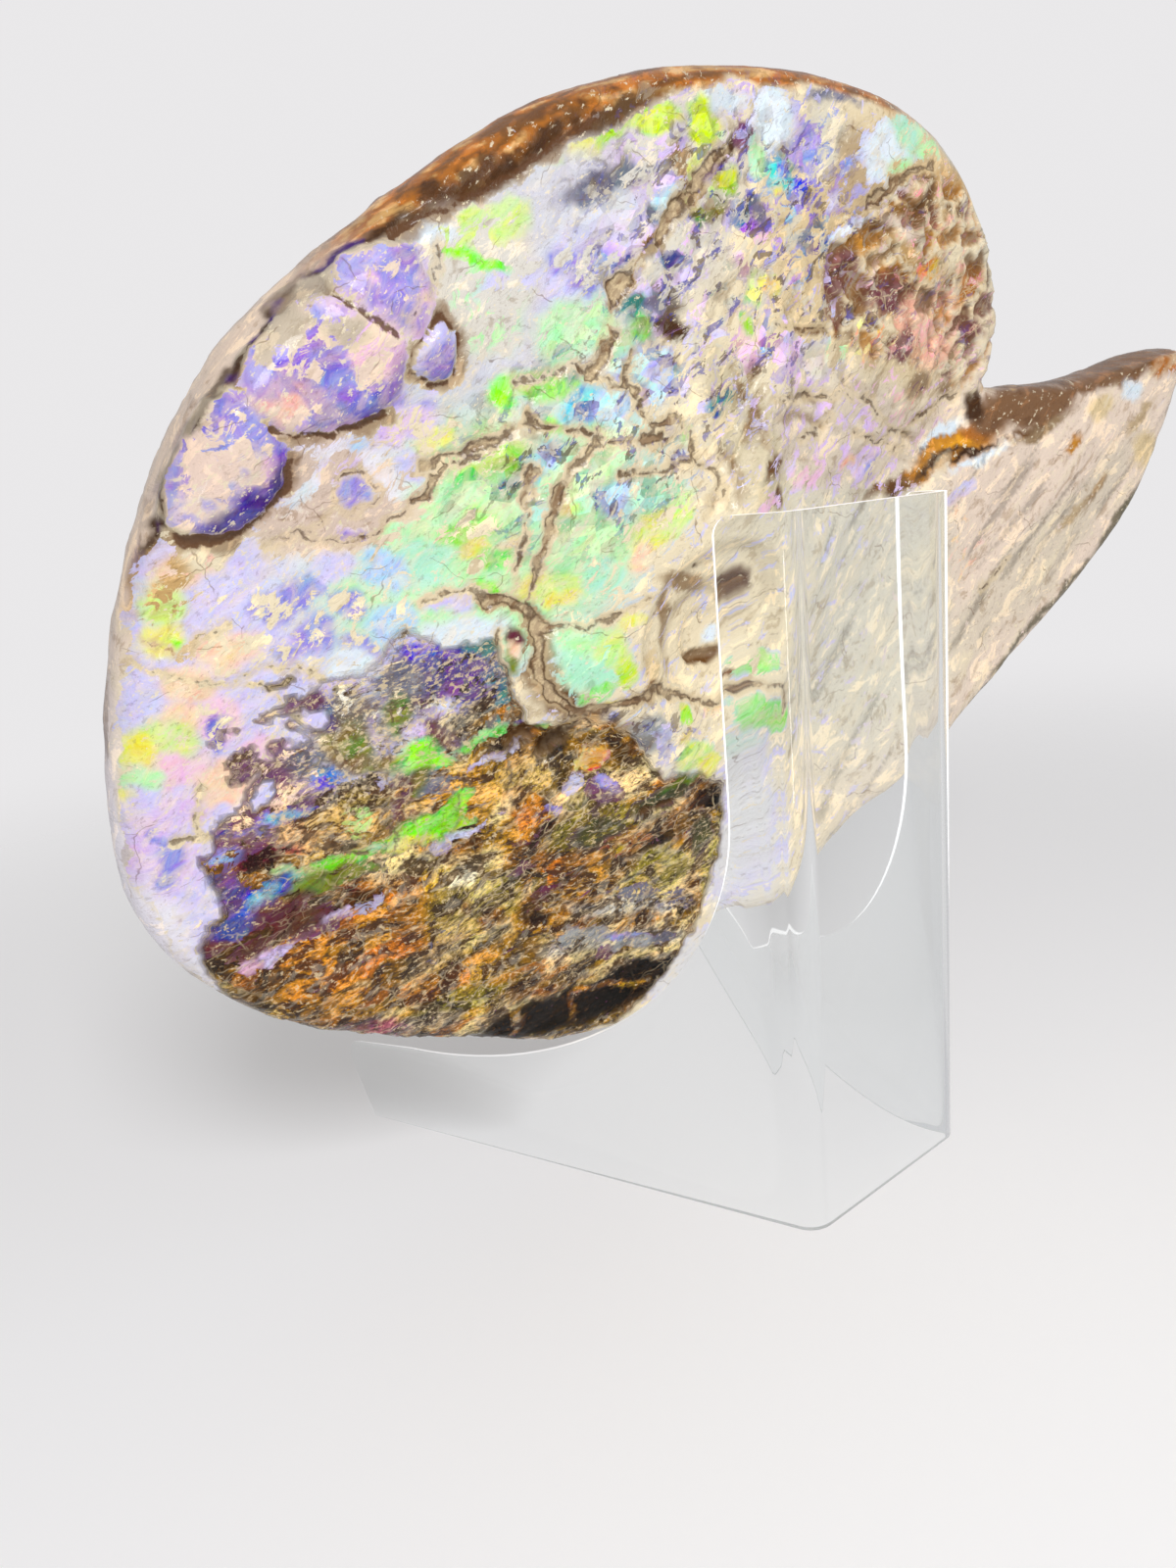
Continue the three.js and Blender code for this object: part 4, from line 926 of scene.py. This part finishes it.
def keep(name, kind, *columns):
    """Stores values on the shell's points for its material to read."""
    layer = shell.data.attributes.new(name, kind, "POINT")
    field = {"FLOAT": "value", "FLOAT_COLOR": "color", "FLOAT_VECTOR": "vector"}[kind]
    layer.data.foreach_set(field, np.stack(columns, axis=1).astype(np.float32).ravel())


keep("flank", "FLOAT_VECTOR", a, b, c)
keep("play", "FLOAT_COLOR", *play.T, np.ones(len(a)))
keep("stone", "FLOAT_COLOR", *stone.T, np.ones(len(a)))
keep("hollow", "FLOAT", np.where(front > 0.5, relief - FINE_RELIEF * cloud(spread, 16, 31, 2), behind))
keep("traits", "FLOAT_COLOR", np.clip(cover, 0, 1), *(part * shown_side for part in (in_lower, net, speckle)))
crack_code, shadow_seam_code = (np.clip(gap / (2 * FAR_GAP) + 0.5, 0, 1) for gap in (crack, shadow_seam))
keep("lines", "FLOAT_COLOR", crack_code, shadow_seam_code, mosaic * shown_side, level_share)

# One polished finish for shell and stone: flecks of iridescent colour over bare stone, a web of pale
# mineral threads in the lower flank, brown fill in the breaks, and a clear gloss over all of it.
finish = bpy.data.materials.new("polished_fossil")
finish.use_nodes = True
surface = finish.node_tree.nodes["Principled BSDF"]


def made(kind, inputs=None, **settings):
    """A new node of this finish."""
    return added(finish.node_tree, kind, inputs, **settings)


def attribute(name):
    return made("Attribute", attribute_name=name)


def sums(kind, first, second=0.0, third=0.0, clamp=False):
    """One arithmetic step on values or sockets."""
    return made("Math", {0: first, 1: second, 2: third}, operation=kind, use_clamp=clamp).outputs[0]


def less(value, taken):
    return sums("SUBTRACT", value, taken)


def scaled(value, by, plus):
    return sums("MULTIPLY_ADD", value, by, plus)


def times(*values):
    """The product of values or sockets."""
    total = values[0]
    for value in values[1:]:
        total = sums("MULTIPLY", total, value)
    return total


def either(part, first, second):
    """The first value where part is 0, the second where it is 1."""
    return scaled(less(second, first), part, first)


def between(value, low, high):
    """0 below low, 1 above high."""
    limits = {"Value": value, "From Min": low, "From Max": high}
    return made("MapRange", limits, interpolation_type="SMOOTHSTEP").outputs["Result"]


def under(value, low, high):
    """1 below low, 0 above high."""
    return less(1.0, between(value, low, high))


def contour(value, low, high):
    """1 along the lines where a noise crosses its middle."""
    return under(sums("ABSOLUTE", less(value, 0.5)), low, high)


def laid(vector, degrees, stretch):
    """The flank's own places, turned and then squeezed."""
    for spin, size in (((0, 0, math.radians(-degrees)), (1, 1, 1)), ((0, 0, 0), stretch)):
        vector = made("Mapping", {"Vector": vector, "Rotation": spin, "Scale": size}).outputs["Vector"]
    return vector


def moved(vector, by, far):
    """Places pushed about by a coloured noise, up to half of that many mm each way."""
    terms = {0: by, 1: (far, far, 0), 2: vector}
    return made("VectorMath", terms, operation="MULTIPLY_ADD").outputs["Vector"]


def grain(vector, size, detail, rough, twist=0.0, deep="2D"):
    """Cloudy noise with lumps of that size in mm."""
    inputs = {"Vector": vector, "Scale": 1 / size, "Detail": detail, "Roughness": rough, "Distortion": twist}
    return made("TexNoise", inputs, noise_dimensions=deep)


def cells(vector, size, feature="F1"):
    """Angular cells of that size in mm."""
    return made("TexVoronoi", {"Vector": vector, "Scale": 1 / size}, voronoi_dimensions="2D", feature=feature)


def parts_of(value):
    return made("SeparateColor", {"Color": value}).outputs


def shifted(paint, hue, saturation, value):
    inputs = {"Hue": hue, "Saturation": saturation, "Value": value, "Color": paint}
    return made("HueSaturation", inputs).outputs["Color"]


def mix(tree, data, part, first, second, kind="MIX"):
    """The first colour or vector where part is 0, the second where it is 1."""
    node = added(tree, "Mix", data_type=data, blend_type=kind)
    pair = [socket for socket in node.inputs if socket.type == data][-2:]
    for socket, value in zip([node.inputs[0]] + pair, (part, first, second)):
        put(socket, value)
    return [socket for socket in node.outputs if socket.type == data][0]


def blend(part, first, second, kind="MIX"):
    """The same for this finish, with colours that may be named."""
    pair = (tuple(tone(paint)) + (1.0,) if isinstance(paint, str) else paint for paint in (first, second))
    return mix(finish.node_tree, "RGBA", part, *pair, kind)


flank_at = attribute("flank").outputs["Vector"]
traits = attribute("traits")
lines_at = attribute("lines")
covered, streaky, webbed = parts_of(traits.outputs["Color"])[:3]
speckled = traits.outputs["Alpha"]
crack_part, shadow_seam_part, broken_up = parts_of(lines_at.outputs["Color"])[:3]
level_part = lines_at.outputs["Alpha"]
crack_gap = scaled(crack_part, 2 * FAR_GAP, -FAR_GAP)
shadow_seam_gap = scaled(shadow_seam_part, 2 * FAR_GAP, -FAR_GAP)
plain = less(1.0, streaky)

# Places for the grain: slanting on most of the flank, drawn out along the lower flank.
long_at = laid(moved(flank_at, grain(flank_at, 22, 1, 0.5).outputs["Color"], 6), 20, (0.66, 1.15, 1))
slant_at = laid(flank_at, 40, (0.5, 1, 1))
grain_at = mix(finish.node_tree, "VECTOR", streaky, slant_at, long_at)

# Flecks of coloured shell with crisp edges, whole where the cover is strong.
solid = between(covered, 0.88, 1.0)
loose = scaled(solid, -0.65, 1.0)
mottle = grain(grain_at, 3.2, 6, 0.70, 0.5).outputs["Fac"]
level_of = scaled(less(mottle, 0.5), 2.6, 0.5)
fleck = between(less(scaled(covered, 1.3, -0.15), level_of), -0.03, 0.05)

# Broken shell is a mosaic: each chip has its own tint and depth of colour.
CHIP_SIZE = 3.0

chip = parts_of(cells(laid(flank_at, 20, (0.6, 1, 1)), CHIP_SIZE).outputs["Color"])
film = parts_of(grain(slant_at, 3.0, 4, 0.68, 0.5).outputs["Color"])
hue = scaled(less(chip[0], 0.5), scaled(broken_up, 0.18, 0.01), 0.5)
hue = either(solid, scaled(less(film[0], 0.5), 0.18, hue), scaled(less(film[0], 0.55), 0.12, 0.5))
deep_part = scaled(less(chip[2], 0.6), scaled(broken_up, 0.7, 0.04), 0.97)
shell_colour = shifted(attribute("play").outputs["Color"], hue, scaled(film[2], 1.1, 0.42), deep_part)

# Stone: grainy all over, and in the lower flank a patchwork of small pieces, each with its own depth.
PIECE_SIZE = 5.2
DEEPER = ((0.50, 0.40, 0.28, 1), (0.16, 0.10, 0.055, 1))
LIGHTER = ((2.0, 1.8, 1.5, 1), (1.8, 1.65, 1.2, 1))

bent = moved(laid(flank_at, 22, (0.6, 1, 1)), grain(flank_at, 6, 2, 0.6).outputs["Color"], 3.5)
piece = parts_of(cells(bent, PIECE_SIZE).outputs["Color"])
piece_value = either(times(streaky, 0.85), 1.0, scaled(piece[0], 1.25, 0.25))
piece_hue = scaled(less(piece[1], 0.35), times(streaky, 0.035), 0.5)
bare = shifted(attribute("stone").outputs["Color"], piece_hue, either(streaky, 1.05, 1.2), piece_value)
pore = grain(grain_at, 5.2, 6, 0.66, 0.5, "3D").outputs["Fac"]
bare_green = parts_of(bare)[1]
not_dark = between(bare_green, 0.012, 0.06)
strength = scaled(streaky, 0.45, 0.5)
deep = blend(1.0, bare, blend(streaky, *DEEPER), "MULTIPLY")
high = blend(1.0, bare, blend(streaky, *LIGHTER), "MULTIPLY")
high = blend(times(between(bare_green, 0.08, 0.4), 0.4), high, blend(streaky, "cream", "sand"))
light_part = between(pore, either(streaky, 0.54, 0.52), either(streaky, 0.59, 0.56))
dark_part = under(pore, either(streaky, 0.36, 0.45), either(streaky, 0.44, 0.485))
ground = blend(times(light_part, strength, not_dark), bare, high)
ground = blend(times(dark_part, strength), ground, deep)
speck = grain(grain_at, 1.3, 4, 0.68).outputs["Fac"]
fine = scaled(less(speck, 0.49), times(streaky, 4.5), 1.0)
ground = blend(1.0, ground, fine, "MULTIPLY")
opacity = scaled(between(film[1], 0.36, 0.56), 0.4, 0.6)
opacity = sums("MAXIMUM", opacity, solid)
body = blend(times(fleck, opacity), ground, shell_colour)

# Slivers of dark shell, and white slivers that are partly calcite and partly painted highlights, where
# the shell is broken up.
sliver = parts_of(grain(slant_at, 3.4, 4, 0.62, 0.4).outputs["Color"])
dark_sliver = blend(between(film[2], 0.49, 0.55), "coffee", "indigo")
body = blend(times(between(sliver[0], 0.585, 0.615), broken_up, plain, loose, 0.8), body, dark_sliver)
calcite_and_highlight = times(between(sliver[1], 0.59, 0.62), broken_up, not_dark, loose, either(streaky, 0.75, 0.4))
body = blend(calcite_and_highlight, body, "ash")

# Fine white grains, partly calcite and partly painted glints, and dark pores all over the flat sides.
shown = parts_of(grain(flank_at, 9, 2, 0.6).outputs["Color"])
speck_low = scaled(speckled, -0.085, 0.635)
white_grain_and_glint = between(speck, speck_low, sums("ADD", speck_low, 0.03))
white_grain_and_glint = times(white_grain_and_glint, level_part, 0.8, sums("MAXIMUM", not_dark, between(speckled, 0.5, 0.8)))
body = blend(white_grain_and_glint, body, blend(streaky, "cream", "sand"))
body = blend(times(under(speck, 0.35, 0.38), level_part, either(streaky, 0.25, 0.5)), body, "umber")

# A web of cream mineral threads across the lower flank and the pits.
wide_web = cells(bent, PIECE_SIZE, "DISTANCE_TO_EDGE").outputs["Distance"]
fine_web = cells(bent, 2.3, "DISTANCE_TO_EDGE").outputs["Distance"]
thread = times(under(wide_web, 0.01, 0.055), between(shown[0], 0.46, 0.52))
thread = sums("MAXIMUM", thread, times(under(fine_web, 0.02, 0.09), between(shown[1], 0.50, 0.56), 0.65))
body = blend(times(thread, webbed, 0.8), body, "sand")

# Thin strands, pale and dark, drawn out along the lower flank.
strand = parts_of(grain(laid(long_at, 0, (0.6, 1, 1)), 5, 5, 0.62, 0.2).outputs["Color"])
pale_strand = times(contour(strand[0], 0.003, 0.016), streaky, not_dark, loose, between(shown[2], 0.46, 0.56))
body = blend(times(pale_strand, 0.35), body, "dust")
dark_strand = times(contour(strand[1], 0.006, 0.022), streaky, loose, between(shown[0], 0.46, 0.56))
body = blend(times(dark_strand, 0.4), body, "coffee")

# Darker brown where the surface lies low, and paler where it stands high.
sunk = attribute("hollow").outputs["Fac"]
body = blend(times(under(sunk, -1.3, -0.2), 0.6), body, "umber")
body = blend(times(between(sunk, 0.35, 0.9), 0.3, not_dark, less(1.0, fleck)), body, "cream")

# Hairlines and scratches through the polish.
far_web = cells(bent, 15, "DISTANCE_TO_EDGE").outputs["Distance"]
hair = times(under(far_web, 0.002, 0.010), between(shown[2], 0.5, 0.58), level_part, 0.5)
body = blend(hair, body, "umber")
scratch = contour(grain(slant_at, 6, 4, 0.64, 0.8).outputs["Fac"], 0.002, 0.012)
scratch = times(scratch, between(shown[1], 0.48, 0.6), level_part, scaled(broken_up, 0.3, 0.1))
body = blend(scratch, body, "umber")

# Breaks filled with brown stone between dark broken edges, and along the seams a dark line that is
# partly the gap where a plate laps another and partly painted shadow.
ripple = less(grain(flank_at, 1.5, 4, 0.65).outputs["Fac"], 0.5)
ragged = scaled(ripple, 1.4, crack_gap)
filling = blend(between(pore, 0.40, 0.50), "bark", blend(between(speck, 0.45, 0.6), "dust", "sand"))
pale_lip = times(between(ragged, -0.2, 0.4), under(ragged, 0.5, 1.7), level_part, either(streaky, 0.5, 0.1))
body = blend(pale_lip, body, "sand")
body = blend(times(under(ragged, -0.4, 0.15), 0.9), body, filling)
broken_edge = times(between(ragged, -0.75, -0.25), under(ragged, -0.1, 0.3), between(shown[0], 0.38, 0.46))
body = blend(times(broken_edge, 0.55), body, "coffee")
# Painted shadow along the seams, over the gap where a plate laps another.
body = blend(times(under(scaled(ripple, 1.3, shadow_seam_gap), -0.15, 0.3), 0.9), body, "hide")

# Polish: dull in the breaks, bright elsewhere.
worn = scaled(mottle, 0.35, under(ragged, -0.3, 0.3))
rise = times(mottle, 0.35)
rise = scaled(pore, either(streaky, 0.45, 0.9), rise)
rise = scaled(between(ragged, -0.8, 0.4), 0.25, rise)
bump = made("Bump", {"Strength": 0.9, "Distance": 0.0014, "Height": rise})
fill_in(surface, {
    "Base Color": body, "Roughness": sums("MULTIPLY_ADD", worn, 0.34, 0.18, clamp=True),
    "Specular IOR Level": 0.14, "Coat Weight": times(not_dark, 0.26), "Coat Roughness": 0.05,
    "Normal": bump.outputs["Normal"],
})
shell.data.materials.append(finish)
bpy.ops.object.shade_smooth()

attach(shell, "root")
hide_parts("ammonite")

# Floor and light. A plain pale surface that fades into plain white all round, in an even light from
# every side, with one soft lamp high on the left and a narrow one low beside it.
SEEN_LIGHT = (0.82, 0.81, 0.82, 1)
CAST_LIGHT = (0.40, 0.39, 0.38, 1)
MIRRORED_LIGHT = (0.55, 0.55, 0.57, 1)

bpy.ops.object.select_all(action="DESELECT")
bpy.ops.mesh.primitive_circle_add(vertices=96, radius=2, fill_type="NGON", location=(0, 0.05, 0))
floor = bpy.context.object
floor.name = "floor"
bpy.ops.object.transform_apply(location=True)
paper = bpy.data.materials.new("floor_paper")
paper.use_nodes = True
place = added(paper.node_tree, "TexCoord").outputs["Object"]
distance = added(paper.node_tree, "VectorMath", {0: place}, operation="LENGTH").outputs["Value"]
fade = added(paper.node_tree, "MapRange", {"Value": distance, "From Min": 0.1, "From Max": 1.0, "To Min": 1,
                                           "To Max": 0}, interpolation_type="SMOOTHERSTEP")
fill_in(paper.node_tree.nodes["Principled BSDF"], {
    "Base Color": (0.84, 0.84, 0.86, 1), "Emission Color": (1, 1, 1, 1), "Emission Strength": 0.14,
    "Roughness": 0.7, "Alpha": fade.outputs["Result"],
})
floor.data.materials.append(paper)

world = bpy.data.worlds.new("light_box")
bpy.context.scene.world = world
world.use_nodes = True
rays = added(world.node_tree, "LightPath").outputs
glow = mix(world.node_tree, "RGBA", rays["Diffuse Depth"], SEEN_LIGHT, CAST_LIGHT)
glow = mix(world.node_tree, "RGBA", rays["Is Glossy Ray"], glow, MIRRORED_LIGHT)
put(world.node_tree.nodes["Background"].inputs["Color"], glow)
world.cycles.sampling_method = "NONE"


def soft_lamp(name, at, aim, wide, tall, power):
    light = bpy.data.lights.new(name, "AREA")
    light.shape = "RECTANGLE"
    light.size, light.size_y = wide, tall
    light.energy = power
    lamp = bpy.data.objects.new(name, light)
    lamp.location = at
    lamp.rotation_euler = (Vector(aim) - Vector(at)).to_track_quat("-Z", "Y").to_euler()
    lamp.visible_transmission = False
    bpy.context.scene.collection.objects.link(lamp)


soft_lamp("key", (-0.45, -0.85, 0.85), (-0.03, 0.05, 0.16), 0.4, 0.4, 10.2)
soft_lamp("left_strip", (-0.62, -0.72, 0.2), (0, 0, 0.15), 0.05, 0.5, 0.7)
bpy.context.scene.view_settings.view_transform = "Standard"
